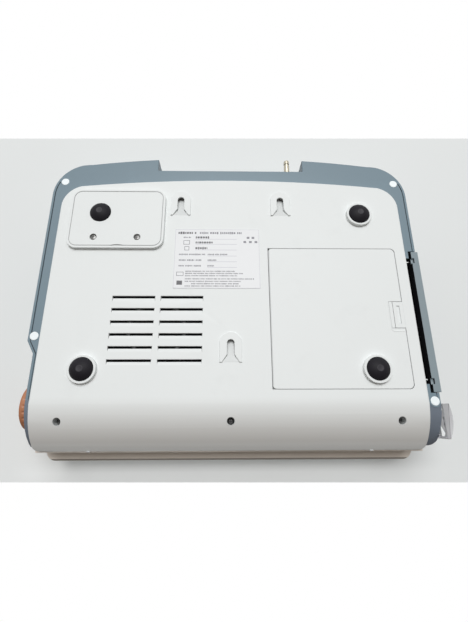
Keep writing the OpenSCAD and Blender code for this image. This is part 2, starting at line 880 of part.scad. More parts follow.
// Heights of a tooth's tip, root and foot from the pitch circle, in modules.
tooth_tip = 0.73;
tooth_root = 1.13;
tooth_foot = 1.45;
gear_dist = gear_module * (platen_teeth + pinion_teeth) / 2;
platen_x = -(skirt_half_w - platen_in);
platen_z = deck_under - gear_module * (platen_teeth / 2 + tooth_tip) - fit;
roll_z = pbay_z + pbay_under + paper_r;
roll_x = platen_x + sqrt(pow(paper_r + platen_r + paper_gap, 2) - pow(platen_z - roll_z, 2));
pbay_x0 = roll_x - paper_r - pbay_front;
pbay_x1 = roll_x + paper_r + pbay_under;
pbay_y0 = pdoor_y0 + pbay_end;
pbay_y1 = pdoor_y1 - pbay_end;
motor_x = platen_x + sqrt(pow(gear_dist, 2) - pow(motor_drop, 2));
motor_z = platen_z - motor_drop;
mesh_angle = -asin(motor_drop / gear_dist);
gear_y = pbay_y1 + gear_gap;
motor_y = gear_y + gear_w + gear_gap;

// Screen, beside the printer.
screen_half_w = -pbay_x1 - screen_side_gap - tray_wall - seam;
hinge_y = curve_y + hinge_in;
hinge_z = screen_top - hinge_drop;
screen_front = hinge_y + hinge_to_screen;
screen_rear = skirt_rear - screen_rear_in;
screen_under = screen_top - screen_t;
bezel_z = screen_top - bezel_t;
tray_x = screen_half_w + seam;
tray_y0 = hinge_y - hinge_r - seam;
tray_y1 = screen_rear + seam;
tray_z = screen_under - seam;

// Keys.
key_y = lip_front + key_in;
key_pitch = key_w + key_gap;
key_first = (key_w + key_middle) / 2;
key_under = deck_under - fit;
key_board_z = key_under - key_drop;
key_post_y = key_l / 2 + key_post_gap;

// Rear connectors.
panel_half_w = notch_half_w - panel_side_in;
panel_y0 = notch_y - shell_wall;
panel_z0 = rim_z + flange_t + panel_gap;
panel_z1 = notch_top - panel_gap;
row_z = panel_z0 + connectors_z;
fuse_x = panel_half_w - fuse_in;
inlet_x = fuse_x - inlet_gap;
inlet_y = notch_y - inlet_l;
switch_y = notch_y - switch_in;
post_x = -(panel_half_w - post_in);
post_z = panel_z0 + post_rise;
post_tip_y = notch_y + post_l;

// Right side.
knob_y = curve_y - knob_in;
knob_z = lip_z + knob_rise;
knob_x0 = front_wall_x + knob_gap;
knob_face_x = front_wall_x + knob_reach;
encoder_x0 = front_wall_x - shell_wall - encoder_l;
sockets_y = step_y + sockets_in;
sockets_z = split_z + sockets_rise;
sockets_w = (socket_count - 1) * socket_pitch + 2 * socket_margin;

// Boards.
board_z = pan_in_z + board_lift;
part_z = board_z + board_t;
main_x = door_right + board_gap;
main_y = curve_y + main_front_in;
supply_x = main_x;
supply_y = inlet_y - supply_gap - supply_l;
module_x = max(supply_x + supply_w + module_gap, keyhole_x + keyhole_pad_w / 2 + pan_wall);
module_y = pan_rear - module_rear_in - module_l;
module_w = pan_half_w - module_edge - module_x;
main_w = pan_half_w - board_edge - main_x;
main_l = min(supply_y, module_y) - main_gap - main_y;

function bow_corner(w, rear, bow, r) = rear - bow + sqrt(pow(bow - r, 2) - pow(w - r, 2)) + corner_slack;

// Plan with a bowed rear edge and rounded corners, drawn "in" millimetres inside its edge.
module plan(w, front, rear, bow, rc, rf, in) {
  hw = w - in;
  r = rc - in;
  f = max(rf - in, 0.5);
  y0 = front + in;
  ky = bow_corner(w, rear, bow, rc);
  intersection() {
    translate([0, rear - bow]) circle(r = bow - in);
    union() {
      translate([-hw, y0 + f]) square([2 * hw, ky - y0 - f]);
      translate([-(hw - f), y0]) square([2 * (hw - f), f + 1]);
      translate([-(hw - r), y0 + f]) square([2 * (hw - r), rear - y0]);
      for (s = [-1, 1]) {
        translate([s * (hw - r), ky]) circle(r = r);
        translate([s * (hw - f), y0 + f]) circle(r = f);
      }
    }
  }
}

module round_rect(x0, y0, x1, y1, r) {
  translate([x0 + r, y0]) square([x1 - x0 - 2 * r, y1 - y0]);
  translate([x0, y0 + r]) square([x1 - x0, y1 - y0 - 2 * r]);
  for (x = [x0 + r, x1 - r], y = [y0 + r, y1 - r]) translate([x, y]) circle(r = r);
}

module box_at(x0, y0, z0, x1, y1, z1) translate([x0, y0, z0]) cube([x1 - x0, y1 - y0, z1 - z0]);

// Slab of a plan between two heights.
module slab(z0, z1) translate([0, 0, z0]) linear_extrude(z1 - z0) children();

// Round bar along +X or along +Y.
module bar_x(x0, x1, y, z, r) translate([x0, y, z]) rotate([0, 90, 0]) cylinder(r = r, h = x1 - x0);
module bar_y(x, y0, y1, z, r) translate([x, y1, z]) rotate([90, 0, 0]) cylinder(r = r, h = y1 - y0);

// Prism along X from points given as [y, z].
module prism_x(x0, len, pts) translate([x0, 0, 0]) rotate([90, 0, 90]) linear_extrude(len) polygon(pts);

module pan_plan(in) plan(pan_half_w, pan_front, pan_rear, pan_bow, pan_corner, pan_front_corner, in);

module step_cut(in) polygon([[front_wall_x - in, -big], [front_wall_x - in, step_y - step_run],
  [skirt_half_w - in + 0.01, step_y], [big, step_y], [big, -big]]);

module body_plan(in) difference() {
  plan(skirt_half_w, skirt_front, skirt_rear, skirt_bow, skirt_corner, skirt_front_corner, in);
  step_cut(in);
}

module notch_plan(in) translate([-(notch_half_w + in), notch_y - in])
  square([2 * (notch_half_w + in), big]);

module housing_plan(front, in) {
  body_plan(in);
  round_rect(-(lip_half_w - in), front + in, lip_half_w - in, curve_y, max(lip_corner - in, 1));
}

// Everything in front of curve_y that lies below a cylinder of radius r about the front curve's axis.
module below_curve(r) difference() {
  box_at(-big, -big, -cut, big, curve_y, curve_z);
  bar_x(-big - cut, big + cut, curve_y, curve_z, r);
}

module at_door_foot() translate([-foot_x, foot_front_y, 0]) children();
module at_cover_foot() translate([foot_x, foot_rear_y, 0]) children();
module at_feet() {
  translate([-foot_x, foot_rear_y, 0]) children();
  translate([foot_x, foot_front_y, 0]) children();
}

module foot(base_z) {
  intersection() {
    translate([0, 0, foot_dome_r - foot_flat]) sphere(r = foot_dome_r);
    cylinder(r = foot_r, h = base_z);
  }
  translate([0, 0, base_z]) cylinder(r = foot_stem_r, h = foot_stem_h);
}

module foot_ring(z1) slab(pad_z, z1) circle(r = foot_r + fit + ring_wall);

module at_keyholes() {
  for (s = [-1, 1]) translate([s * keyhole_x, keyhole_rear_y, 0]) children();
  translate([0, keyhole_front_y, 0]) children();
}

module keyhole_outline() {
  w = keyhole_slot_w / 2;
  y1 = -keyhole_slot_l;
  y2 = -keyhole_end - 0.01;
  translate([0, -w]) circle(r = w);
  translate([-w, y1]) square([2 * w, keyhole_slot_l - w]);
  polygon([[-w, y1 + 0.01], [w, y1 + 0.01], [keyhole_flare_w / 2, y2], [-keyhole_flare_w / 2, y2]]);
}

module keyhole_pad(m) {
  w = keyhole_pad_w / 2 + m;
  y2 = -keyhole_end - m;
  translate([0, -keyhole_slot_w / 2]) circle(r = w);
  translate([-w, y2]) square([2 * w, -y2 - keyhole_slot_w / 2]);
}

// Slot with a floor that slopes up to the pan's face, and a wider pocket for the screw's head.
module keyhole_cut() intersection() {
  union() {
    slab(pan_z - keyhole_pad_h - cut, pan_z + keyhole_depth) keyhole_outline();
    slab(pan_z + keyhole_lip, pan_z + keyhole_depth) keyhole_pad(-keyhole_side);
  }
  prism_x(-keyhole_pad_w, 2 * keyhole_pad_w, [[-keyhole_end - cut, pan_z - keyhole_pad_h - cut],
    [keyhole_pad_w, pan_z - keyhole_pad_h - cut], [keyhole_pad_w, pan_z + keyhole_depth],
    [0, pan_z + keyhole_depth], [-keyhole_end, pan_z], [-keyhole_end - cut, pan_z]]);
}

module at_front_screws() for (x = [-front_screw_x, 0, front_screw_x]) translate([x, front_screw_y, 0])
  children();

module at_rim_screws() {
  for (s = [-1, 1]) translate([s * (skirt_half_w - rim_rear_in), skirt_rear - rim_rear_y_in, 0]) children();
  translate([skirt_half_w - rim_edge_in, step_y + rim_step_gap, 0]) children();
  translate([-(skirt_half_w - rim_left_in), pdoor_y0 - pdoor_pin_l - plug_r - plug_gap, 0]) children();
}

module at_cover_screws() for (s = [-1, 1])
  translate([cover_x + s * cover_screw_x, cover_y0 + cover_screw_in, 0]) children();

module at_vents() for (row = [0 : vent_rows - 1], s = [-1, 1])
  translate([vent_x + s * (vent_gap + vent_l) / 2, vent_y + row * vent_pitch, 0]) children();

module pan_block(in, z0, z1) difference() {
  slab(z0, z1) pan_plan(in);
  below_curve(curve_r - in);
}

module door_opening(m) round_rect(latch_x0 - fit - m, door_y0 - fit - m, door_right + fit + m,
  door_y1 + fit + m, door_r + fit);

module hatch_plan(in) round_rect(cover_x0 + hatch_side_in + in, cover_y0 + hatch_front_in + in,
  cover_x1 - hatch_side_in - in, cover_y1 - hatch_rear_in - in, hatch_r);

module door_pin_bosses() for (y = [door_y0 - fit - door_pin_l - bay_wall, door_y1 + fit])
  box_at(door_axis_x - pin_boss, y, pan_z, door_axis_x + pin_boss, y + door_pin_l + bay_wall,
    pan_z + 2 * door_t);

module bottom_pan() color(white) difference() {
  union() {
    difference() {
      pan_block(0, pan_z, pan_top);
      pan_block(pan_wall, pan_in_z, pan_top + cut);
    }
    at_feet() foot_ring(pan_z);
    at_keyholes() {
      slab(pan_z - keyhole_pad_h, pan_z) keyhole_pad(0);
      slab(pan_z, pan_z + keyhole_depth + pan_wall) keyhole_pad(pan_wall);
    }
    slab(pan_z, bay_top + bay_wall) door_opening(bay_wall);
    door_pin_bosses();
    intersection() {
      at_front_screws() slab(pan_z, front_boss_z) circle(r = front_bore_r + front_tube_wall);
      pan_block(0, pan_z, pan_top);
    }
    at_cover_screws() slab(pan_z, pan_z + cover_screw_l + pan_wall) circle(r = cover_screw_r + pan_wall);
    slab(pan_z, pan_in_z + hatch_rim) hatch_plan(-hatch_rim);
  }
  at_feet() slab(pad_z - cut, pan_z) circle(r = foot_r + fit);
  at_feet() slab(pan_z - cut, pan_in_z + cut) circle(r = foot_stem_r);
  at_keyholes() keyhole_cut();
  at_vents() {
    slab(pan_z - cut, pan_in_z + cut) translate([-vent_l / 2, 0]) square([vent_l, vent_w]);
    prism_x(-vent_l / 2, vent_l, [[0.01, pan_z - 0.01], [0.01, pan_z + vent_ramp_d],
      [-vent_ramp, pan_z - 0.01]]);
  }
  slab(pan_z - cut, door_in_z) door_opening(0);
  box_at(door_axis_x - door_t / 2, door_y0 - fit, pan_z - cut, door_right + fit, door_y1 + fit, door_in_z);
  slab(pan_z - cut, bay_top) door_opening(-door_ledge);
  box_at(latch_x0 - fit, latch_y - tongue_w / 2 - tongue_t, pan_z, latch_x0 + door_ledge + cut,
    latch_y + tongue_w / 2 + tongue_t, door_in_z + 2 * tongue_t);
  bar_y(door_axis_x, door_y0 - door_pin_l - 2 * fit, door_y1 + door_pin_l + 2 * fit, door_axis_z,
    door_pin_r + run);
  at_front_screws() {
    slab(-cut, front_seat_z) circle(r = front_bore_r);
    slab(pan_z, front_boss_z + cut) circle(r = screw_r + fit);
  }
  at_cover_screws() slab(pan_z - cut, pan_z + cover_screw_l + cut) circle(r = cover_screw_r);
  slab(pan_z - cut, pan_in_z + hatch_rim + cut) hatch_plan(0);
}

module door_window() box_at(-big, pdoor_y0, -cut, rail_x, pdoor_y1, pdoor_top + exit_gap);

module panel_window() box_at(-panel_half_w, panel_y0 - cut, panel_z0, panel_half_w, notch_y + cut,
  panel_z1 + fit);

module skirt_bosses() intersection() {
  at_rim_screws() slab(rim_z, split_z) circle(r = plug_r + plug_wall);
  slab(rim_z, split_z) body_plan(0);
}

module skirt_shell() {
  difference() {
    slab(rim_z, rim_z + flange_t) body_plan(0);
    box_at(-big, -big, 0, big, curve_y, split_z);
  }
  intersection() {
    slab(rim_z, split_z) body_plan(0);
    difference() {
      box_at(-big, -big, rim_z, big, curve_y, split_z);
      below_curve(curve_r - skirt_rise);
      bar_x(-big, big, curve_y, curve_z, curve_r - skirt_rise - flange_t);
    }
  }
  difference() {
    slab(rim_z, split_z) body_plan(0);
    slab(rim_z - cut, split_z + cut) body_plan(shell_wall);
    below_curve(curve_r - skirt_rise);
  }
  intersection() {
    slab(rim_z, split_z) body_plan(0);
    slab(rim_z, split_z) notch_plan(shell_wall);
  }
}

module skirt_frame() color(grey) difference() {
  union() {
    difference() {
      skirt_shell();
      slab(rim_z - cut, split_z + cut) pan_plan(-pan_gap);
      door_window();
    }
    box_at(rail_x - rail_t, pdoor_y0 - rail_end, rim_z, rail_x, pdoor_y1 + rail_end, pbay_z - fit);
    for (y = [pdoor_y0 - pdoor_pin_l - rail_t + cut, pdoor_y1]) box_at(-skirt_half_w + seam, y, rim_z + seam,
      rail_x, y + pdoor_pin_l + rail_t - cut, pdoor_axis_z + pdoor_ear);
    for (y = [pdoor_y0, pdoor_y1 - tab_l]) box_at(pdoor_axis_x + bar_sweep + fit, y, rim_z, rail_x,
      y + tab_l, rim_z + flange_t);
    skirt_bosses();
  }
  slab(rim_z - cut, split_z + cut) notch_plan(0);
  panel_window();
  at_rim_screws() {
    slab(rim_z - cut, rim_shoulder_z) circle(r = plug_r);
    slab(rim_z, split_z + cut) circle(r = screw_r + fit);
  }
  bar_y(pdoor_axis_x, pdoor_y0 - pdoor_pin_l - fit, pdoor_y1 + pdoor_pin_l + fit, pdoor_axis_z,
    pdoor_pin_r + run);
  bar_x(-big, rail_x, button_y, button_z, button_stem_r + run);
  intersection() {
    slab(rim_z - cut, rim_z + groove_d) difference() {
      body_plan(groove_in);
      body_plan(groove_in + groove_w);
    }
    for (s = [-1, 1]) box_at(s * skirt_half_w - 2 * rim_side_w, curve_y, 0, s * skirt_half_w + rim_side_w,
      skirt_rear - rim_rear_y_in, split_z);
  }
}

module at_keys() for (s = [-1, 1], k = [0 : 2]) translate([s * (key_first + k * key_pitch), key_y, 0])
  children();

module housing_bosses() {
  at_front_screws() slab(front_boss_z, deck_z - cut) circle(r = screw_r + screw_boss);
  intersection() {
    at_rim_screws() slab(split_z, deck_z - cut) circle(r = screw_r + screw_boss);
    slab(split_z, deck_z) body_plan(0);
  }
}

module sockets_window(m) box_at(0, sockets_y - sockets_w / 2 - m, sockets_z - sockets_h / 2 - m, big,
  sockets_y + sockets_w / 2 + m, sockets_z + sockets_h / 2 + m);

module top_housing() color(white) difference() {
  union() {
    difference() {
      slab(split_z, lip_z + shell_wall) housing_plan(waist_front, 0);
      slab(split_z - cut, lip_z + shell_wall + cut) housing_plan(waist_front, shell_wall);
    }
    difference() {
      slab(lip_z, deck_z) housing_plan(lip_front, 0);
      slab(lip_z + shell_wall, deck_under) housing_plan(lip_front, shell_wall);
      slab(lip_z - cut, lip_z + shell_wall + cut) housing_plan(waist_front, shell_wall);
    }
    box_at(-pan_half_w + fit, waist_front, pan_top + pan_gap, pan_half_w - fit, waist_front + shell_wall,
      split_z + cut);
    intersection() {
      slab(split_z, notch_top + shell_wall) body_plan(0);
      slab(split_z, notch_top + shell_wall) notch_plan(shell_wall);
    }
    box_at(-tray_x - tray_wall, tray_y0 - tray_wall, tray_z - tray_wall, tray_x + tray_wall,
      tray_y1 + tray_wall, deck_z);
    housing_bosses();
    at_keys() for (s = [-1, 1]) slab(key_board_z, deck_z - cut) translate([0, s * key_post_y])
      circle(r = key_post_r);
  }
  box_at(-tray_x, tray_y0, tray_z, tray_x, tray_y1, deck_z + cut);
  slab(0, notch_top) notch_plan(0);
  panel_window();
  box_at(-big, pdoor_y0, split_z - cut, -skirt_half_w + shell_wall + seam, pdoor_y1, pdoor_top + exit_gap);
  intersection() {
    sockets_window(fit);
    box_at(skirt_half_w - shell_wall - cut, -big, 0, big, big, deck_z);
  }
  bar_x(front_wall_x - shell_wall - cut, big, knob_y, knob_z, knob_shaft_r + knob_gap);
  at_keys() slab(deck_under - cut, deck_z + cut) translate([-key_w / 2 - fit, -key_l / 2 - fit])
    square([key_w + 2 * fit, key_l + 2 * fit]);
  at_front_screws() slab(front_boss_z - cut, front_seat_z + screw_l + fit) circle(r = screw_r);
  at_rim_screws() slab(split_z - cut, split_z + screw_l) circle(r = screw_r);
}

module cover_plan(in) round_rect(cover_x0 + in, cover_y0 + in, cover_x1 - in, cover_y1 - in, cover_r - in);

module service_cover() color(white) difference() {
  union() {
    slab(cover_z, pan_z) cover_plan(0);
    slab(pan_z, pan_in_z) difference() {
      hatch_plan(fit);
      hatch_plan(fit + hatch_rim);
    }
  }
  slab(cover_z - cut, cover_z + cover_seam_d) difference() {
    cover_plan(cover_seam_in);
    cover_plan(cover_seam_in + cover_seam_w);
  }
  at_cover_screws() {
    slab(cover_z - cut, cover_z + cover_sink) circle(r = cover_head_r + fit);
    slab(cover_z - cut, pan_z + cut) circle(r = cover_screw_r + fit);
  }
  at_cover_foot() {
    slab(cover_z - cut, cover_z + foot_seat) circle(r = foot_r + fit);
    slab(cover_z - cut, pan_in_z + cut) circle(r = foot_stem_r);
  }
  slab(cover_z - cut, cover_z + finger_d) intersection() {
    cover_plan(cover_seam_in);
    translate([cover_x - finger_side, cover_y0 + cover_seam_in + finger_out - finger_r])
      circle(r = finger_r);
  }
}

module cross_slot(z0, z1) for (a = [0, 90]) rotate([0, 0, a])
  box_at(-slot_half_l, -slot_half_w, z0, slot_half_l, slot_half_w, z1);

module service_cover_screws() color(steel) at_cover_screws() difference() {
  z = cover_z + cover_sink;
  union() {
    slab(z - cover_head_h, z) circle(r = cover_head_r);
    slab(z, pan_z + cover_screw_l) circle(r = cover_screw_r);
  }
  cross_slot(cover_z, z - cover_head_h / 2);
}

module base_feet() color(rubber) {
  at_feet() foot(pan_z);
  at_cover_foot() foot(cover_z + foot_seat);
}

module cross_screw(seat_z) difference() {
  union() {
    slab(seat_z - screw_head_h, seat_z) circle(r = screw_head_r);
    slab(seat_z, seat_z + screw_l) circle(r = screw_r);
  }
  cross_slot(seat_z - screw_head_h - cut, seat_z - screw_head_h + slot_d);
}

module front_screws() color(steel) at_front_screws() cross_screw(front_seat_z);

module rim_screws() color(steel) at_rim_screws() cross_screw(rim_shoulder_z);

module rim_plugs() color(white) at_rim_screws() slab(rim_z - plug_proud, rim_z - plug_proud + plug_l)
  circle(r = plug_r);

module rating_label() color(paper_white) slab(pan_z - label_t, pan_z)
  round_rect(label_x0, label_y1 - label_l, label_x0 + label_w, label_y1, label_r);

// Block centred on [x, z] in the rear panel.
module rear_block(x, z, w, h, y0, y1) box_at(x - w / 2, y0, z - h / 2, x + w / 2, y1, z + h / 2);

module rear_panel() color(grey) difference() {
  box_at(-panel_half_w, panel_y0, panel_z0, panel_half_w, notch_y, panel_z1);
  rear_block(inlet_x, row_z, inlet_w, inlet_h, panel_y0 - cut, notch_y + cut);
  rear_block(switch_x, row_z, switch_w + 2 * switch_side, switch_h + 2 * switch_end, panel_y0 - cut,
    notch_y + cut);
  rear_block(net_x, row_z, net_w, net_h, panel_y0 - cut, notch_y + cut);
  for (s = [-1, 1]) bar_y(fuse_x, panel_y0 - cut, notch_y + cut, row_z + s * fuse_pitch / 2, fuse_r + run);
  bar_y(post_x, panel_y0 - cut, notch_y + cut, post_z, post_r + run);
}

module ac_inlet() color(black) difference() {
  union() {
    rear_block(inlet_x, row_z, inlet_w, inlet_h, inlet_y, notch_y);
    rear_block(inlet_x, row_z, inlet_w + 2 * flange_w, inlet_h + 2 * flange_w, notch_y,
      notch_y + flange_out);
  }
  rear_block(inlet_x, row_z, inlet_w - 2 * inlet_wall, inlet_h - 2 * inlet_wall, inlet_y + inlet_back,
    notch_y + flange_out + cut);
}

module ac_inlet_pins() color(steel)
  for (p = [[-blade_gap, -blade_rise], [blade_gap, -blade_rise], [0, blade_rise]])
    rear_block(inlet_x + p[0], row_z + p[1], blade_w, blade_h, inlet_y + inlet_back,
      inlet_y + inlet_back + blade_l);

module fuse_holders() color(black) for (s = [-1, 1]) translate([0, 0, row_z + s * fuse_pitch / 2])
  difference() {
    union() {
      bar_y(fuse_x, notch_y - fuse_l, notch_y, 0, fuse_r);
      bar_y(fuse_x, notch_y, notch_y + fuse_cap, 0, fuse_r + flange_out);
    }
    rear_block(fuse_x, 0, fuse_slot_l, fuse_slot_w, notch_y + fuse_cap / 2, notch_y + fuse_cap + cut);
  }

module switch_frame() color(black) difference() {
  w = switch_w + 2 * switch_side;
  h = switch_h + 2 * switch_end;
  union() {
    rear_block(switch_x, row_z, w, h, notch_y - switch_l, notch_y);
    rear_block(switch_x, row_z, w + 2 * flange_w, h + 2 * flange_w, notch_y, notch_y + flange_out);
  }
  rear_block(switch_x, row_z, switch_w + 2 * fit, switch_h + switch_end, notch_y - switch_l + switch_side,
    notch_y + flange_out + cut);
  bar_x(switch_x - switch_w / 2 - switch_pin_l - run, switch_x + switch_w / 2 + switch_pin_l + run, switch_y,
    row_z, switch_pin_r + run);
}

module power_switch() color(switch_green) {
  h = switch_h / 2;
  face_y = notch_y + rocker_dish;
  prism_x(switch_x - switch_w / 2, switch_w, [[switch_y - switch_in, row_z - rocker_root],
    [switch_y - switch_in, row_z + rocker_root], [face_y - rocker_edge, row_z + h], [face_y, row_z + h],
    [notch_y, row_z], [face_y, row_z - h], [face_y - rocker_edge, row_z - h]]);
  bar_x(switch_x - switch_w / 2 - switch_pin_l, switch_x + switch_w / 2 + switch_pin_l, switch_y, row_z,
    switch_pin_r);
}

module network_socket() color(metal_grey) difference() {
  rear_block(net_x, row_z, net_w, net_h, notch_y - net_l, notch_y + net_out);
  box_at(net_x - net_w / 2 + net_wall, notch_y - net_l + net_back, row_z - net_h / 2 + net_wall,
    net_x + net_w / 2 - net_wall, notch_y + net_out + cut, row_z + net_h / 2 - 1.5 * net_wall);
}

module post_nut(y0) translate([post_x, y0 + post_nut_t, post_z]) rotate([90, 0, 0])
  cylinder(r = post_r + post_hex, h = post_nut_t, $fn = 6);

module equipotential_post() color(nickel) difference() {
  y = post_tip_y - post_groove_in;
  union() {
    bar_y(post_x, panel_y0 - post_tail, post_tip_y, post_z, post_r);
    post_nut(notch_y);
    post_nut(panel_y0 - post_nut_t);
  }
  difference() {
    bar_y(post_x, y - post_groove_w, y, post_z, post_r + cut);
    bar_y(post_x, y - post_groove_w - cut, y + cut, post_z, post_r - post_groove_d);
  }
}

module at_sockets() for (k = [0 : socket_count - 1])
  translate([0, sockets_y + (k - (socket_count - 1) / 2) * socket_pitch, sockets_z]) children();

module socket_panel() color(grey) difference() {
  intersection() {
    sockets_window(0);
    box_at(skirt_half_w - shell_wall, -big, 0, skirt_half_w, big, deck_z);
  }
  at_sockets() bar_x(skirt_half_w - shell_wall - cut, skirt_half_w + cut, 0, 0, socket_r + run);
}

module probe_sockets() color(pale) at_sockets() {
  x1 = skirt_half_w + socket_flange_t;
  difference() {
    union() {
      bar_x(x1 - socket_l, skirt_half_w, 0, 0, socket_r);
      bar_x(skirt_half_w, x1, 0, 0, socket_flange_r);
    }
    bar_x(x1 - socket_l + socket_back, x1 + cut, 0, 0, socket_bore_r);
  }
}

module encoder() color(dark_grey) difference() {
  box_at(encoder_x0, knob_y - encoder_w / 2, knob_z - encoder_w / 2, front_wall_x - shell_wall,
    knob_y + encoder_w / 2, knob_z + encoder_w / 2);
  bar_x(encoder_x0 + encoder_back, big, knob_y, knob_z, knob_shaft_r + run);
}

module jog_knob() color(orange) {
  difference() {
    bar_x(knob_x0, knob_face_x, knob_y, knob_z, knob_r);
    bar_x(knob_face_x - knob_dish, knob_face_x + cut, knob_y, knob_z, knob_r - knob_rim);
    for (k = [1 : knob_flutes]) translate([0, knob_y, knob_z]) rotate([k * 360 / knob_flutes, 0, 0])
      bar_x(knob_x0 + flute_end, knob_face_x - flute_end, 0, knob_r + flute_out, flute_r);
  }
  bar_x(encoder_x0 + encoder_back + fit, knob_x0, knob_y, knob_z, knob_shaft_r);
}

// Door plate whose hinge edge is a half round about the pin axis.
module door_plate() intersection() {
  slab(pan_z - cut, pan_z + door_t + cut) round_rect(latch_x0, door_y0, door_right + seam, door_y1,
    door_r + seam);
  translate([0, door_y1 + cut, 0]) rotate([90, 0, 0]) linear_extrude(door_l + 2 * cut) {
    translate([latch_x0 - cut, pan_z]) square([door_axis_x - latch_x0 + cut, door_t]);
    translate([door_axis_x, door_axis_z]) circle(r = door_t / 2);
  }
}

module battery_door() color(white) difference() {
  union() {
    door_plate();
    bar_y(door_axis_x, door_y0 - fit - door_pin_l, door_y0 + door_pin_l, door_axis_z, door_pin_r);
    bar_y(door_axis_x, door_y1 - door_pin_l, door_y1 + fit + door_pin_l, door_axis_z, door_pin_r);
    at_door_foot() foot_ring(pan_z + cut);
  }
  box_at(latch_x0 - cut, latch_y - latch_l / 2 - fit, pan_z - cut, latch_x0 + latch_w + latch_travel + fit,
    latch_y + latch_l / 2 + fit, pan_z + latch_t + fit);
  box_at(latch_x0 + latch_neck, latch_y - tongue_w / 2 - fit, pan_z, latch_x0 + latch_w + latch_travel,
    latch_y + tongue_w / 2 + fit, door_in_z + cut);
  at_door_foot() {
    slab(pad_z - cut, pan_z) circle(r = foot_r + fit);
    slab(pan_z - cut, door_in_z + cut) circle(r = foot_stem_r);
  }
}

module battery_door_foot() color(rubber) at_door_foot() foot(pan_z);

module battery_latch() color(white) difference() {
  union() {
    box_at(latch_x0, latch_y - latch_l / 2, pan_z, latch_x0 + latch_w, latch_y + latch_l / 2,
      pan_z + latch_t);
    box_at(latch_x0 + latch_neck + fit, latch_y - tongue_w / 2, pan_z + latch_t - cut, latch_x0 + latch_w,
      latch_y + tongue_w / 2, door_in_z);
    box_at(latch_x0, latch_y - tongue_w / 2, door_in_z, latch_x0 + latch_w, latch_y + tongue_w / 2,
      door_in_z + tongue_t);
  }
  box_at(latch_x0 + latch_neck, latch_y - latch_l / 2 + grip_end, pan_z - cut,
    latch_x0 + latch_neck + grip_w, latch_y + latch_l / 2 - grip_end, pan_z + grip_d);
}

module battery_pack() color(dark_grey) {
  in = fit + door_ledge + battery_gap;
  slab(bay_top - battery_h - fit, bay_top - fit)
    round_rect(latch_x0 + in, door_y0 + in, door_right - in, door_y1 - in, battery_r);
}

module at_clips() {
  translate([clip_x, pdoor_y1 - clip_inset, 0]) children();
  translate([clip_x, pdoor_y0 + clip_inset, 0]) mirror([0, 1, 0]) children();
}

module printer_door() color(grey) difference() {
  union() {
    box_at(pdoor_x, pdoor_y0 + seam, rim_z, pdoor_x + pdoor_t, pdoor_y1 - seam, pdoor_top);
    box_at(pdoor_x, pdoor_y0 + seam, rim_z, pdoor_x + pdoor_bar_w, pdoor_y1 - seam, rim_z + pdoor_bar_h);
    bar_y(pdoor_axis_x, pdoor_y0 - pdoor_pin_l, pdoor_y1 + pdoor_pin_l, pdoor_axis_z, pdoor_pin_r);
  }
  at_clips() box_at(pdoor_x + pdoor_bar_w - clip_notch - clip_x, -clip_notch, rim_z - cut, pdoor_bar_w,
    clip_notch, pdoor_axis_z - pdoor_pin_r - seam);
}

module printer_door_liner() color(black) box_at(pdoor_x + pdoor_t, pdoor_y0 + liner_in,
  rim_z + pdoor_bar_h + liner_rise, pdoor_x + pdoor_t + liner_t, pdoor_y1 - liner_in, pdoor_top - liner_top);

module door_clips() color(white) at_clips() {
  z0 = rim_z + clip_rise;
  x0 = clip_r * sin(45);
  slab(z0, z0 + clip_h) {
    intersection() {
      difference() {
        circle(r = clip_r);
        circle(r = clip_r - clip_wall);
      }
      rotate([0, 0, 45]) translate([-2 * clip_r, -4 * clip_r]) square(4 * clip_r);
    }
    translate([x0, -clip_r]) square([rail_x - rail_t - clip_x - x0, 1.2 * clip_wall]);
  }
}

module button_crown(in) translate([button_face_x + button_crown_r, button_y + button_crown_in, 0])
  cylinder(r = button_crown_r - in, h = big);

module door_button() color(clear) difference() {
  intersection() {
    box_at(button_face_x, button_y - button_l / 2, button_z - button_h / 2, button_face_x + button_depth,
      button_y + button_l / 2, button_z + button_h / 2);
    button_crown(0);
  }
  intersection() {
    box_at(button_face_x, button_y - button_l / 2 + button_wall, button_z - button_h / 2 + button_wall,
      0, button_y + button_l / 2 - button_wall, button_z + button_h / 2 - button_wall);
    button_crown(button_wall);
  }
}

module door_button_stem() color(white) intersection() {
  bar_x(button_face_x, rail_x - rail_t - button_travel - cut, button_y, button_z, button_stem_r);
  button_crown(button_wall);
}

module printer_bay() color(black) difference() {
  union() {
    box_at(pbay_x0, pbay_y0, pbay_z, pbay_x1, pbay_y1, pbay_z + pbay_wall);
    box_at(pbay_x1 - pbay_wall, pbay_y0, pbay_z, pbay_x1, pbay_y1, deck_under);
    for (y = [pbay_y0, pbay_y1 - pbay_wall]) box_at(pbay_x0, y, pbay_z, pbay_x1, y + pbay_wall, deck_under);
  }
  bar_y(platen_x, pbay_y0 - cut, pbay_y1 + cut, platen_z, platen_shaft_r + run);
}

module paper_spindle() color(dark_grey) bar_y(roll_x, pbay_y0 + pbay_wall, pbay_y1 - pbay_wall, roll_z,
  spindle_r);

module paper_roll() color(paper_white) difference() {
  y0 = (pbay_y0 + pbay_y1 - paper_l) / 2;
  bar_y(roll_x, y0, y0 + paper_l, roll_z, paper_r);
  bar_y(roll_x, y0 - cut, y0 + paper_l + cut, roll_z, spindle_r + 3 * run);
}

module print_head() color(dark_grey) box_at(-skirt_half_w + shell_wall, pbay_y0 + head_end,
  platen_z - head_low, platen_x - platen_r - fit, pbay_y1 - head_end, platen_z + head_high);

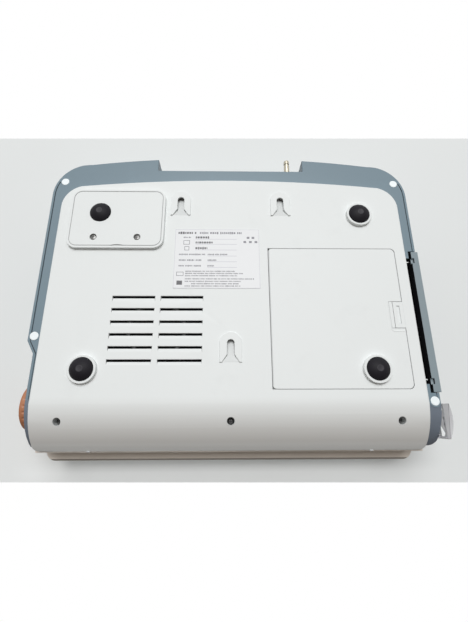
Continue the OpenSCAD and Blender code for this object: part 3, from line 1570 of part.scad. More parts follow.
module gear_plan(n) {
  p = gear_module * n / 2;
  top = p + gear_module * tooth_tip;
  low = p - gear_module * tooth_foot;
  circle(r = p - gear_module * tooth_root);
  for (k = [0 : n - 1]) rotate([0, 0, k * 360 / n]) polygon([
    for (q = [[low, -1.2], [p, -0.8], [top, -0.4], [top, 0.4], [p, 0.8], [low, 1.2]])
      [q[0] * cos(q[1] * 90 / n), q[0] * sin(q[1] * 90 / n)]]);
}

module gear_at(x, z, n, a) translate([x, gear_y + gear_w, z]) rotate([90, 0, 0]) linear_extrude(gear_w)
  rotate([0, 0, a]) gear_plan(n);

module platen_roller() color(rubber) {
  in = pbay_wall + platen_end;
  bar_y(platen_x, pbay_y0 + in, pbay_y1 - in, platen_z, platen_r);
  bar_y(platen_x, pbay_y0, gear_y + gear_w, platen_z, platen_shaft_r);
  gear_at(platen_x, platen_z, platen_teeth, mesh_angle);
}

module feed_motor() color(dark_grey) difference() {
  union() {
    bar_y(motor_x, motor_y, motor_y + motor_l, motor_z, motor_r);
    box_at(motor_x - motor_lug, motor_y + motor_shaft_r, motor_z + motor_r * cos(45), motor_x + motor_lug,
      motor_y + motor_l - motor_shaft_r, deck_under);
  }
  bar_y(motor_x, motor_y - cut, motor_y + motor_shaft_l + fit, motor_z, motor_shaft_r + run);
}

module motor_pinion() color(steel) {
  gear_at(motor_x, motor_z, pinion_teeth, mesh_angle + 180 / pinion_teeth);
  bar_y(motor_x, gear_y, motor_y + motor_shaft_l, motor_z, motor_shaft_r);
}

module screen_plan(in) round_rect(-screen_half_w + in, screen_front + in, screen_half_w - in,
  screen_rear - in, max(screen_r - in, 1));

module screen_back() color(white) {
  difference() {
    slab(screen_under, bezel_z) screen_plan(0);
    slab(screen_under + screen_wall, bezel_z + cut) screen_plan(screen_wall);
  }
  for (x = [-1, 1], y = [screen_front + screen_boss_in, screen_rear - screen_boss_in])
    translate([x * (screen_half_w - screen_boss_in), y, 0])
      slab(screen_under + cut, bezel_z - lcd_t) circle(r = screen_boss_r);
}

module lcd_panel() color(dark_grey) slab(bezel_z - lcd_t, bezel_z) screen_plan(screen_wall + lcd_gap);

module screen_glass() color(black) slab(bezel_z, bezel_z + glass_t) screen_plan(bezel_w + fit);

module lamp_cut() box_at(-lamp_w / 2, screen_rear - (bezel_w + lamp_l) / 2, bezel_z - cut, lamp_w / 2,
  screen_rear - (bezel_w - lamp_l) / 2, screen_top + cut);

module screen_bezel() color(white) difference() {
  slab(bezel_z, screen_top) screen_plan(0);
  slab(bezel_z - cut, screen_top + cut) screen_plan(bezel_w);
  lamp_cut();
}

module alarm_lamp() color(amber) intersection() {
  lamp_cut();
  box_at(-big, -big, bezel_z, big, big, screen_top - lamp_sink);
}

module screen_hinge_arms() color(metal_grey) for (s = [-1, 1]) {
  x0 = s * hinge_x - hinge_arm_w / 2;
  bar_x(x0, x0 + hinge_arm_w, hinge_y, hinge_z, hinge_r);
  box_at(x0, hinge_y, hinge_z - hinge_r, x0 + hinge_arm_w, screen_front, hinge_z);
  bar_x(x0 - hinge_ear_w - fit, x0 + hinge_arm_w + hinge_ear_w + fit, hinge_y, hinge_z, hinge_pin_r);
}

module screen_hinge_brackets() color(metal_grey) for (s = [-1, 1], e = [-1, 1]) {
  x0 = s * hinge_x + e * (hinge_arm_w / 2 + fit + hinge_ear_w / 2) - hinge_ear_w / 2;
  difference() {
    union() {
      bar_x(x0, x0 + hinge_ear_w, hinge_y, hinge_z, hinge_r);
      box_at(x0, tray_y0, hinge_z - hinge_foot, x0 + hinge_ear_w, hinge_y, hinge_z);
    }
    bar_x(x0 - cut, x0 + hinge_ear_w + cut, hinge_y, hinge_z, hinge_pin_r + run);
  }
}

module key_board() color(board_green) {
  x = key_first + 2 * key_pitch + key_w / 2 + key_board_end;
  y = key_post_y + key_board_edge;
  difference() {
    box_at(-x, key_y - y, key_board_z - board_t, x, key_y + y, key_board_z);
    translate([0, front_screw_y, 0]) slab(0, deck_z) circle(r = screw_r + screw_boss + cut);
  }
  at_keys() slab(key_board_z, key_board_z + key_switch_h) square(key_switch, center = true);
}

module key_cap() color(pale) {
  slab(key_under - key_rim_t, deck_z + key_rise)
    round_rect(-key_w / 2, -key_l / 2, key_w / 2, key_l / 2, key_r);
  slab(key_under - key_rim_t, key_under) square([key_w + 2 * key_rim, key_l + 2 * key_rim], center = true);
  slab(key_board_z + key_switch_h + key_travel + fit, key_under - key_rim_t / 2) circle(r = key_post_r);
}

module key_at(k) translate([k * key_pitch + sign(k) * (key_first - key_pitch), key_y, 0]) key_cap();
module key_a() key_at(-3);
module key_b() key_at(-2);
module key_c() key_at(-1);
module key_d() key_at(1);
module key_e() key_at(2);
module key_f() key_at(3);

module main_board() color(board_green) {
  translate([main_x, main_y, board_z]) cube([main_w, main_l, board_t]);
  translate([main_x + chip_in, main_y + chip_in, part_z]) cube([chip_w, chip_w, chip_h]);
  for (y = [main_y + corner_in + plug_block_l, main_y + main_l - corner_in - 2 * plug_block_l])
    translate([main_x + main_w - chip_in - plug_block_w, y, part_z])
      cube([plug_block_w, plug_block_l, plug_block_h]);
}

module power_supply() color(board_green) {
  translate([supply_x, supply_y, board_z]) cube([supply_w, supply_l, board_t]);
  translate([supply_x + supply_w - coil_in - coil_w, supply_y + coil_in, part_z])
    cube([coil_w, coil_w, coil_h]);
  for (s = [-1, 1]) translate([supply_x + can_in, supply_y + (supply_l + s * can_pitch) / 2, part_z])
    cylinder(r = can_r, h = can_h);
}

module measuring_module() color(metal_grey) translate([module_x, module_y, board_z])
  cube([module_w, module_l, module_h]);

module standoffs(x, y, w, l) for (px = [x + corner_in, x + w - corner_in],
  py = [y + corner_in, y + l - corner_in])
  translate([px, py, 0]) slab(pan_in_z, board_z) circle(r = standoff_r);

module board_standoffs() color(steel) {
  standoffs(main_x, main_y, main_w, main_l);
  standoffs(supply_x, supply_y, supply_w, supply_l);
  standoffs(module_x, module_y, module_w, module_l);
}

module speaker() color(black) translate([vent_x, vent_y + vent_pitch * (vent_rows - 1) / 2, 0]) {
  slab(pan_in_z, pan_in_z + speaker_cone) difference() {
    circle(r = speaker_r);
    circle(r = speaker_r - speaker_rim);
  }
  slab(pan_in_z + speaker_cone, pan_in_z + speaker_h) circle(r = speaker_r - speaker_rim / 2);
}

bottom_pan();
skirt_frame();
top_housing();
service_cover();
service_cover_screws();
base_feet();
front_screws();
rim_screws();
rim_plugs();
rating_label();
rear_panel();
ac_inlet();
ac_inlet_pins();
fuse_holders();
switch_frame();
power_switch();
network_socket();
equipotential_post();
socket_panel();
probe_sockets();
encoder();
jog_knob();
battery_door();
battery_door_foot();
battery_latch();
battery_pack();
printer_door();
printer_door_liner();
door_clips();
door_button();
door_button_stem();
printer_bay();
paper_spindle();
paper_roll();
print_head();
platen_roller();
feed_motor();
motor_pinion();
screen_back();
lcd_panel();
screen_glass();
screen_bezel();
alarm_lamp();
screen_hinge_arms();
screen_hinge_brackets();
key_board();
key_a();
key_b();
key_c();
key_d();
key_e();
key_f();
main_board();
power_supply();
measuring_module();
board_standoffs();
speaker();
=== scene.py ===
"""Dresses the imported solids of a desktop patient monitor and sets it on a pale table."""

import json
import math
import random

import bmesh
import bpy
from mathutils import Matrix, Vector


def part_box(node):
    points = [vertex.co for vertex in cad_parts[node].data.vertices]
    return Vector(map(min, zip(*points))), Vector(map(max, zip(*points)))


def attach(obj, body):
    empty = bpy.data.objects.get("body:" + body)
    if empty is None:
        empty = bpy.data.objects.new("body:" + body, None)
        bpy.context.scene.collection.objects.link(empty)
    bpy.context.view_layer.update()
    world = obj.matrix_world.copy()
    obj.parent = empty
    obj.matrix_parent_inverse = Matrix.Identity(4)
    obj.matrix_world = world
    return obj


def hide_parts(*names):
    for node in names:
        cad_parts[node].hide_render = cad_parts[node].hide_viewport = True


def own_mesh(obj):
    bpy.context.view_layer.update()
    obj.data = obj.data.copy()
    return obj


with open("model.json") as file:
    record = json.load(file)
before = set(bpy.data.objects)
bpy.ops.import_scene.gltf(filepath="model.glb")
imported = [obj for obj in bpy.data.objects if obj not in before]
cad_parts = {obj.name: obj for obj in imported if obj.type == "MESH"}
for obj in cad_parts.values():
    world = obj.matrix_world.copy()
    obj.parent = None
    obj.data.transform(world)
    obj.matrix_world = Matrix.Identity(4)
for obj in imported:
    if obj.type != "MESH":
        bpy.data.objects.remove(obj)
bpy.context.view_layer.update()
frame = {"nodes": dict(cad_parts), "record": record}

bl_info = {
    "name": "Desktop patient monitor",
    "version": (1, 0, 0),
    "blender": (4, 5, 0),
    "location": "View3D > Sidebar > Monitor",
    "description": "Dresses the solids of a desktop patient monitor with soft edges and finishes",
    "category": "Object",
}

MM = 0.001
# A point this close to a plane lies on it
NEAR = 0.05 * MM
# Points closer than the first are one point, and lengths under the second count as none
MERGE = 1e-6
TINY = 1e-7
# A face whose normal leans less than this along Z is a wall
UPRIGHT = 0.35
# Edges flatter than this many degrees shade smoothly, on pieces and on what the geometry trees make
SMOOTH = 50
SMOOTH_GROWN = 35
# How far the rings round the feet stand below the pan
RING_STEP = 3.5 * MM
# Height of a moulded surface's grain
GRAIN_HEIGHT = 0.12 * MM
# The floor lies just under the feet
FLOOR_Z = -0.2 * MM
RECORD = frame["record"]
BODY = {n: body for body, names in RECORD["behaviour"]["bodies"].items() for n in names}


def colour_prop(name, text, rgb):
    return bpy.props.FloatVectorProperty(
        name=name, description=text, subtype="COLOR", size=4, min=0, max=1, default=(*rgb, 1.0))


def length_prop(name, text, mm):
    return bpy.props.FloatProperty(
        name=name, description=text, unit="LENGTH", precision=5, min=0, default=mm * MM)


def number_prop(name, text, value, **kind):
    return bpy.props.FloatProperty(name=name, description=text, default=value, **kind)


def angle_prop(name, text, degrees):
    return number_prop(name, text, math.radians(degrees), subtype="ANGLE")


def count_prop(name, text, value, least):
    return bpy.props.IntProperty(name=name, description=text, min=least, default=value)


def span_prop(name, text, ends):
    return bpy.props.FloatVectorProperty(name=name, description=text, size=2, unit="LENGTH", default=ends)


def vector_prop(name, text, value, kind):
    return bpy.props.FloatVectorProperty(name=name, description=text, subtype=kind, default=value)


class MonitorFinish(bpy.types.PropertyGroup):
    """Colours of the monitor's materials."""
    white: colour_prop("White plastic", "Pan, housing and doors", (0.803, 0.832, 0.830))
    grey: colour_prop("Blue-grey plastic", "Skirt and rear panel", (0.178, 0.246, 0.290))
    # Painted shade: a darker blue-grey on the skirt's curved front, which turns away from the light
    cheek: colour_prop("Shaded blue-grey", "Skirt's curved front", (0.172, 0.204, 0.250))
    # Painted shade: white darkened and warmed for the underside of the front lip, where the pan shades it
    lip: colour_prop("Shaded white", "Underside of the front lip", (0.80, 0.73, 0.65))
    # Painted shade: the pan's white is multiplied by this towards the bottom of its front curve, which
    # turns away from the light
    curve: colour_prop("Curve's shade", "Tint of the pan's front curve", (0.83, 0.80, 0.78))
    door_grey: colour_prop("Door plastic", "Printer door", (0.235, 0.290, 0.318))
    black: colour_prop("Black plastic", "Connectors and the printer's bay", (0.018, 0.018, 0.021))
    rubber: colour_prop("Rubber", "Feet and rollers", (0.0105, 0.0098, 0.0135))
    steel: colour_prop("Steel", "Screws and hinges", (0.56, 0.56, 0.55))
    nickel: colour_prop("Nickelled brass", "Earth post", (0.60, 0.56, 0.46))
    tarnish: colour_prop("Tarnish", "Dull spots on nickelled brass", (0.35, 0.25, 0.12))
    orange: colour_prop("Orange plastic", "Control knob", (0.46, 0.195, 0.10))
    plug: colour_prop("Plug plastic", "Plugs over the rim's screws", (0.92, 0.98, 1.0))
    # Painted shade: near black on the walls of seams, slots, keyholes and vents, and in screw slots
    crevice: colour_prop("Crevice", "Walls of seams and slots", (0.075, 0.075, 0.078))
    film: colour_prop("Label film", "Plate on the underside", (0.765, 0.78, 0.795))
    ink: colour_prop("Label ink", "Darkest marks on the plate", (0.07, 0.07, 0.08))
    tint: colour_prop("Clear plastic", "Printer door's button", (0.66, 0.665, 0.68))
    glass: colour_prop("Screen glass", "Front of the screen", (0.010, 0.012, 0.015))
    board: colour_prop("Circuit board", "Solder mask", (0.020, 0.11, 0.055))
    copper: colour_prop("Board tracks", "Tracks under the solder mask", (0.050, 0.19, 0.10))
    paper: colour_prop("Paper", "Printer's roll", (0.86, 0.86, 0.83))
    amber: colour_prop("Amber lens", "Alarm lamp", (0.80, 0.38, 0.05))
    green: colour_prop("Green plastic", "Power switch", (0.015, 0.085, 0.035))
    key: colour_prop("Key plastic", "Keys on the deck", (0.55, 0.58, 0.60))


class MonitorSizes(bpy.types.PropertyGroup):
    """Sizes that the looks add to the solids."""
    edge: length_prop("Edge", "Rounding of plain edges", 0.45)
    pan_edge: length_prop("Pan edge", "Rounding round the bottom pan", 1.3)
    rim_edge: length_prop("Rim edge", "Rounding along the skirt's rear", 0.8)
    deck_edge: length_prop("Deck edge", "Rounding round the housing's deck", 2.0)
    cover_edge: length_prop("Cover edge", "Rounding round the service cover", 2.2)
    screen_edge: length_prop("Screen edge", "Rounding round the screen's back", 2.0)
    bezel_edge: length_prop("Bezel edge", "Rounding round the screen's frame", 1.1)
    key_edge: length_prop("Key edge", "Rounding of a key's top", 0.8)
    button_edge: length_prop("Button edge", "Rounding of the button's crown", 0.7)
    # Painted shade line along the button's crown
    button_shade_line: length_prop("Button's line", "Width of the line along the button's crown", 0.5)
    # Painted shadow: a dark strip along the front lip's edge, where it nears the table
    lip_shadow_w: length_prop("Lip's seam", "Width of the dark seam along the front lip", 1.2)
    cloth_r: length_prop("Vent cloth", "Radius of the cloth behind the slits", 51.5)
    cloth_t: length_prop("Cloth", "Thickness of the cloth behind the slits", 0.2)
    tab_x: length_prop("Tabs", "Small tabs on the pan's front edge from the centre line", 123.0)
    tab_w: length_prop("Tab", "Width of a tab", 2.8)
    bead_w: length_prop("Bead", "Width of the bead round the latch", 1.4)
    bead_h: length_prop("Bead height", "Height of the bead round the latch", 0.25)
    foot_dome: length_prop("Foot dome", "Radius of a foot's dome", 14.0)
    foot_lip: length_prop("Foot lip", "Rounding of a foot's rim", 0.5)
    foot_spot: length_prop("Foot spot", "Radius of the worn spot on a foot", 2.9)
    bar_t: length_prop("Ink", "Thickness of a printed mark", 0.02)
    rule_w: length_prop("Rule", "Width of a printed rule", 0.35)
    flute_d: length_prop("Flute", "Depth of the knob's flutes", 0.8)
    flutes: count_prop("Flutes", "Flutes round the knob", 24, 3)
    contacts: count_prop("Contacts", "Contacts in a probe socket", 6, 1)
    contact_r: length_prop("Contact", "Radius of a socket's contact", 0.55)
    contact_ring: length_prop("Contact ring", "Radius of the ring of contacts", 2.8)
    contact_l: length_prop("Contact length", "Length of a socket's contact", 3.4)
    thread: length_prop("Thread", "Pitch of the earth post's thread", 1.0)


class MonitorStage(bpy.types.PropertyGroup):
    """Table, light and camera."""
    table_z: length_prop("Table", "Plane that the screen lies on in the photographed view", 100.2)
    table: colour_prop("Table", "Table and floor", (0.795, 0.82, 0.82))
    lamp: number_prop("Lamp", "Power of a large lamp", 124.0, subtype="POWER")
    lamp_tilt: angle_prop("Lamp's tilt", "Rear lamp's angle from straight below", 20)
    lamp_size: number_prop("Lamp's size", "Width of a large lamp", 2.6, unit="LENGTH")
    lamp_away: number_prop("Lamp's distance", "Distance of a large lamp", 4.0, unit="LENGTH")
    lamp_aim: length_prop("Lamp's aim", "Height that the lamps point at", 50.0)
    deck_lamp: vector_prop("Deck lamp", "Way to the lamp over the deck", (0.25, -0.5, 0.83), "DIRECTION")
    sky: number_prop("Room", "Strength of the room's light", 0.43)
    gloss: number_prop("Gloss", "Extra strength seen in glossy faces", 0.35)
    rear_glow: colour_prop("Rear glow", "Room's light from the rear", (1.0, 1.0, 1.0))
    front_glow: colour_prop("Front glow", "Room's light from the front", (0.20, 0.155, 0.12))
    backdrop: colour_prop("Backdrop", "What the camera sees beyond the floor", (0.97, 0.97, 0.97))
    fade_rear: span_prop("Rear fade", "Where the table fades to white at the rear", (0.2575, 0.2583))
    fade_front: span_prop("Front fade", "Where the table fades to white in front", (-0.1808, -0.1816))
    fade_floor: span_prop("Floor's fade", "Where the floor fades to white", (0.3, 1.2))
    slant_rear: number_prop("Rear slant", "Slope of the rear fade's line", 0.01133)
    slant_front: number_prop("Front slant", "Slope of the front fade's line", -0.00607)
    # Painted light: the table glows in front of the lip, brightening the shadow there
    lift: number_prop("Lift", "Glow of the table in front of the lip", 0.12)
    painted_light_reach: span_prop("Lift's reach", "Where that glow starts and is full", (-0.161, -0.171))
    painted_light_end: span_prop("Lift's end", "Where that glow ends and is full", (-0.187, -0.172))
    painted_light_sides: span_prop("Lift's sides", "Where that glow ends and is full to the sides", (0.23, 0.14))
    lens: number_prop("Lens", "Camera's focal length", 20.315, unit="CAMERA")
    eye: vector_prop("Eye", "Camera's place", (0.0022, -0.1192, -0.2991), "TRANSLATION")
    pitch: angle_prop("Pitch", "Camera's pitch", 72.77)
    yaw: angle_prop("Yaw", "Camera's yaw", 3.13)
    roll: angle_prop("Roll", "Camera's roll", 3.06)


def sizes():
    return bpy.context.scene.monitor_sizes


# Nodes, shader groups and materials


def put(tree, socket, value):
    """Links a socket to another one, or sets its value."""
    if isinstance(value, bpy.types.NodeSocket):
        tree.links.new(value, socket)
    else:
        socket.default_value = value


def add_node(tree, kind, inputs=None, **settings):
    """A node with its settings, and with its inputs linked or set."""
    node = tree.nodes.new(kind)
    for label, value in settings.items():
        setattr(node, label, value)
    for socket, value in (inputs or {}).items():
        put(tree, node.inputs[socket], value)
    return node


def math_node(tree, operation, *values):
    return add_node(tree, "ShaderNodeMath", dict(enumerate(values)), operation=operation).outputs[0]


def vector(tree, x, y, z):
    return add_node(tree, "ShaderNodeCombineXYZ", {0: x, 1: y, 2: z}).outputs[0]


def apart(tree, value):
    return add_node(tree, "ShaderNodeSeparateXYZ", {0: value}).outputs


def mix_colour(tree, blend, factor, a, b):
    inputs = {0: factor, 6: a, 7: b}
    return add_node(tree, "ShaderNodeMix", inputs, data_type="RGBA", blend_type=blend).outputs[2]


def mix_shader(tree, factor, a, b):
    return add_node(tree, "ShaderNodeMixShader", {0: factor, 1: a, 2: b}).outputs[0]


def object_place(tree):
    return add_node(tree, "ShaderNodeTexCoord").outputs["Object"]


def noise(tree, scale, detail=2.0, stretch=None, rough=0.5):
    """Noise in object coordinates, stretched along an axis if asked."""
    where = object_place(tree)
    if stretch:
        where = add_node(tree, "ShaderNodeMapping", {"Vector": where, "Scale": stretch}).outputs[0]
    inputs = {"Vector": where, "Scale": scale, "Detail": detail, "Roughness": rough}
    return add_node(tree, "ShaderNodeTexNoise", inputs).outputs["Fac"]


def ramp(tree, value, low, high):
    inputs = {"Value": value, "From Min": low, "From Max": high}
    return add_node(tree, "ShaderNodeMapRange", inputs).outputs[0]


def shader_group(name, inputs, outputs):
    """A new shader group; returns the tree, the sockets that come in and those that go out."""
    tree = bpy.data.node_groups.new(name, "ShaderNodeTree")
    for label, value in inputs.items():
        kind = "NodeSocketColor" if isinstance(value, tuple) else "NodeSocketFloat"
        tree.interface.new_socket(label, in_out="INPUT", socket_type=kind).default_value = value
    for label in outputs:
        kind = "NodeSocketColor" if label == "Colour" else "NodeSocketFloat"
        tree.interface.new_socket(label, in_out="OUTPUT", socket_type=kind)
    return tree, tree.nodes.new("NodeGroupInput").outputs, tree.nodes.new("NodeGroupOutput").inputs


def grain_group():
    """Spark-eroded grain of moulded plastic: colour drift, roughness and height."""
    tree, i, o = shader_group("Moulded grain", {
        "Colour": (0.8, 0.8, 0.8, 1), "Drift": 0.02, "Grain": 2400.0, "Roughness": 0.5,
        "Roughness drift": 0.06}, ("Colour", "Roughness", "Height"))
    patch_scale, wear_scale, grain_detail = 11.0, 160.0, 3.0
    patch = math_node(tree, "SUBTRACT", noise(tree, patch_scale), 0.5)
    shade = math_node(tree, "MULTIPLY_ADD", patch, i["Drift"], 1.0)
    put(tree, o["Colour"], mix_colour(tree, "MULTIPLY", 1.0, i["Colour"], shade))
    worn = math_node(tree, "SUBTRACT", noise(tree, wear_scale), 0.5)
    put(tree, o["Roughness"], math_node(tree, "MULTIPLY_ADD", worn, i["Roughness drift"], i["Roughness"]))
    put(tree, o["Height"], noise(tree, i["Grain"], grain_detail))
    return tree


def scuff_group():
    """Rubbed patches."""
    tree, i, o = shader_group("Rubbed marks", {
        "Colour": (0.8, 0.8, 0.8, 1), "Mark": (0.5, 0.5, 0.5, 1), "Amount": 0.2, "Size": 40.0}, ("Colour",))
    edge, full = 0.58, 0.78
    patch = ramp(tree, noise(tree, i["Size"], 4.0, rough=0.6), edge, full)
    mask = math_node(tree, "MULTIPLY", patch, i["Amount"])
    put(tree, o["Colour"], mix_colour(tree, "MIX", mask, i["Colour"], i["Mark"]))
    return tree


def turned_group():
    """Fine tool lines of turned or brushed metal."""
    tree, i, o = shader_group("Tool lines", {
        "Colour": (0.6, 0.6, 0.6, 1), "Roughness": 0.3, "Tarnish": (0.3, 0.28, 0.25, 1), "Amount": 0.25},
        ("Colour", "Roughness", "Height"))
    line_scale, stretch, spot_scale, edge, full = 900.0, (0.15, 3.0, 0.15), 420.0, 0.52, 0.75
    lines = noise(tree, line_scale, stretch=stretch)
    mask = math_node(tree, "MULTIPLY", ramp(tree, noise(tree, spot_scale, 4.0), edge, full), i["Amount"])
    put(tree, o["Colour"], mix_colour(tree, "MIX", mask, i["Colour"], i["Tarnish"]))
    put(tree, o["Roughness"], math_node(tree, "MULTIPLY_ADD", lines, 0.15, i["Roughness"]))
    put(tree, o["Height"], lines)
    return tree


GROUPS = {}
MATERIALS = {}
# Settings that more than one plastic has
SATIN = dict(rough=0.5, drift=0.03, shine=0.22)
MOULDED = dict(rough=0.44, drift=0.06, amount=0.2)
LINE = dict(rough=0.6, drift=0.1)
DIM = dict(rough=0.6, drift=0.05)
INK = dict(rough=0.4, drift=0.3, grain=1500.0, amount=0.4, bump=0.02)


def place_group(tree, maker, values):
    """Places a shared effect in a material; returns what comes out of it."""
    if maker not in GROUPS:
        GROUPS[maker] = maker()
    return add_node(tree, "ShaderNodeGroup", values, node_tree=GROUPS[maker]).outputs


def start_material(name):
    made = bpy.data.materials.new(name)
    made.use_nodes = True
    tree = made.node_tree
    tree.nodes.clear()
    shader = add_node(tree, "ShaderNodeBsdfPrincipled")
    add_node(tree, "ShaderNodeOutputMaterial", {0: shader.outputs[0]})
    return made, tree, shader


def finished(name, effect, colour, values, sockets, bump=None, marks=None):
    """A material on a shared effect. A colour that is a function is made in the tree and may bring its own
    height, `bump` is a strength and a depth, and `marks` are rubbed over the colour."""
    made, tree, shader = start_material(name)
    height = None
    if callable(colour):
        colour, height = colour(tree)
    skin = place_group(tree, effect, {"Colour": colour, **values})
    tone = skin["Colour"]
    if marks:
        tone = place_group(tree, scuff_group, {"Colour": tone, **marks})["Colour"]
    put(tree, shader.inputs["Base Color"], tone)
    put(tree, shader.inputs["Roughness"], skin["Roughness"])
    for label, value in sockets.items():
        shader.inputs[label].default_value = value
    if bump:
        inputs = {"Strength": bump[0], "Distance": bump[1], "Height": height or skin["Height"]}
        put(tree, shader.inputs["Normal"], add_node(tree, "ShaderNodeBump", inputs).outputs[0])
    return made


def plastic(name, colour, mark, rough, drift, grain=2400.0, amount=0.12, bump=0.12, coat=0.0, shine=0.4):
    """Moulded plastic, rubber, film or ink with fine grain and rubbed marks."""
    return finished(name, grain_group, colour, {"Drift": drift, "Grain": grain, "Roughness": rough},
                    {"Specular IOR Level": shine, "Coat Weight": coat}, (bump, GRAIN_HEIGHT),
                    {"Mark": mark, "Amount": amount})


def metal(name, colour, tarnish, rough, amount=0.25):
    """Turned or brushed metal."""
    return finished(name, turned_group, colour, {"Roughness": rough, "Tarnish": tarnish, "Amount": amount},
                    {"Metallic": 1.0}, (0.15, 0.05 * MM))


def milky(name, colour):
    """Milky clear plastic."""
    return finished(name, grain_group, colour, {"Drift": 0.05, "Grain": 1500.0, "Roughness": 0.22},
                    {"Transmission Weight": 0.55, "IOR": 1.3}, (0.05, 0.1 * MM))


def screen_glass(name, colour):
    """Dark glass of a display that is off."""
    return finished(name, grain_group, colour, {
        "Drift": 0.2, "Grain": 900.0, "Roughness": 0.09, "Roughness drift": 0.05},
        {"Coat Weight": 0.6, "Coat Roughness": 0.04})


def lens_plastic(name, colour):
    """Coloured clear lens."""
    return finished(name, grain_group, colour, {"Drift": 0.1, "Grain": 700.0, "Roughness": 0.18},
                    {"Transmission Weight": 0.35})


def circuit_board(name, mask, track):
    """Solder mask with tracks under it."""
    def tracks(tree):
        inputs = {"Vector": object_place(tree), "Scale": 90.0, "Mortar Size": 0.03,
                  "Color1": mask, "Color2": scaled(mask, 0.8), "Mortar": track}
        bricks = add_node(tree, "ShaderNodeTexBrick", inputs).outputs
        return bricks["Color"], bricks["Fac"]

    return finished(name, grain_group, tracks, {"Drift": 0.1, "Grain": 3000.0, "Roughness": 0.35}, {},
                    (0.1, 0.1 * MM))


def pan_plastic(name, colour, mark, tint):
    """White plastic with painted shade: it darkens towards the bottom of the pan's front curve, which turns
    away from the light.
    """
    # tint darkens the colour into the painted shade of the front curve
    shaded = (*(c * t for c, t in zip(colour[:3], tint)), 1.0)
    from_y, full_y, back_y, end_y = -0.100, -0.130, -0.137, -0.1455

    def shade(tree):
        y = apart(tree, object_place(tree))["Y"]
        share = math_node(tree, "MULTIPLY", ramp(tree, y, from_y, full_y), ramp(tree, y, end_y, back_y))
        return mix_colour(tree, "MIX", share, colour, shaded), None

    return plastic(name, shade, mark, **SATIN)


def scaled(colour, factor):
    return (*(min(1.0, c * factor) for c in colour[:3]), 1.0)


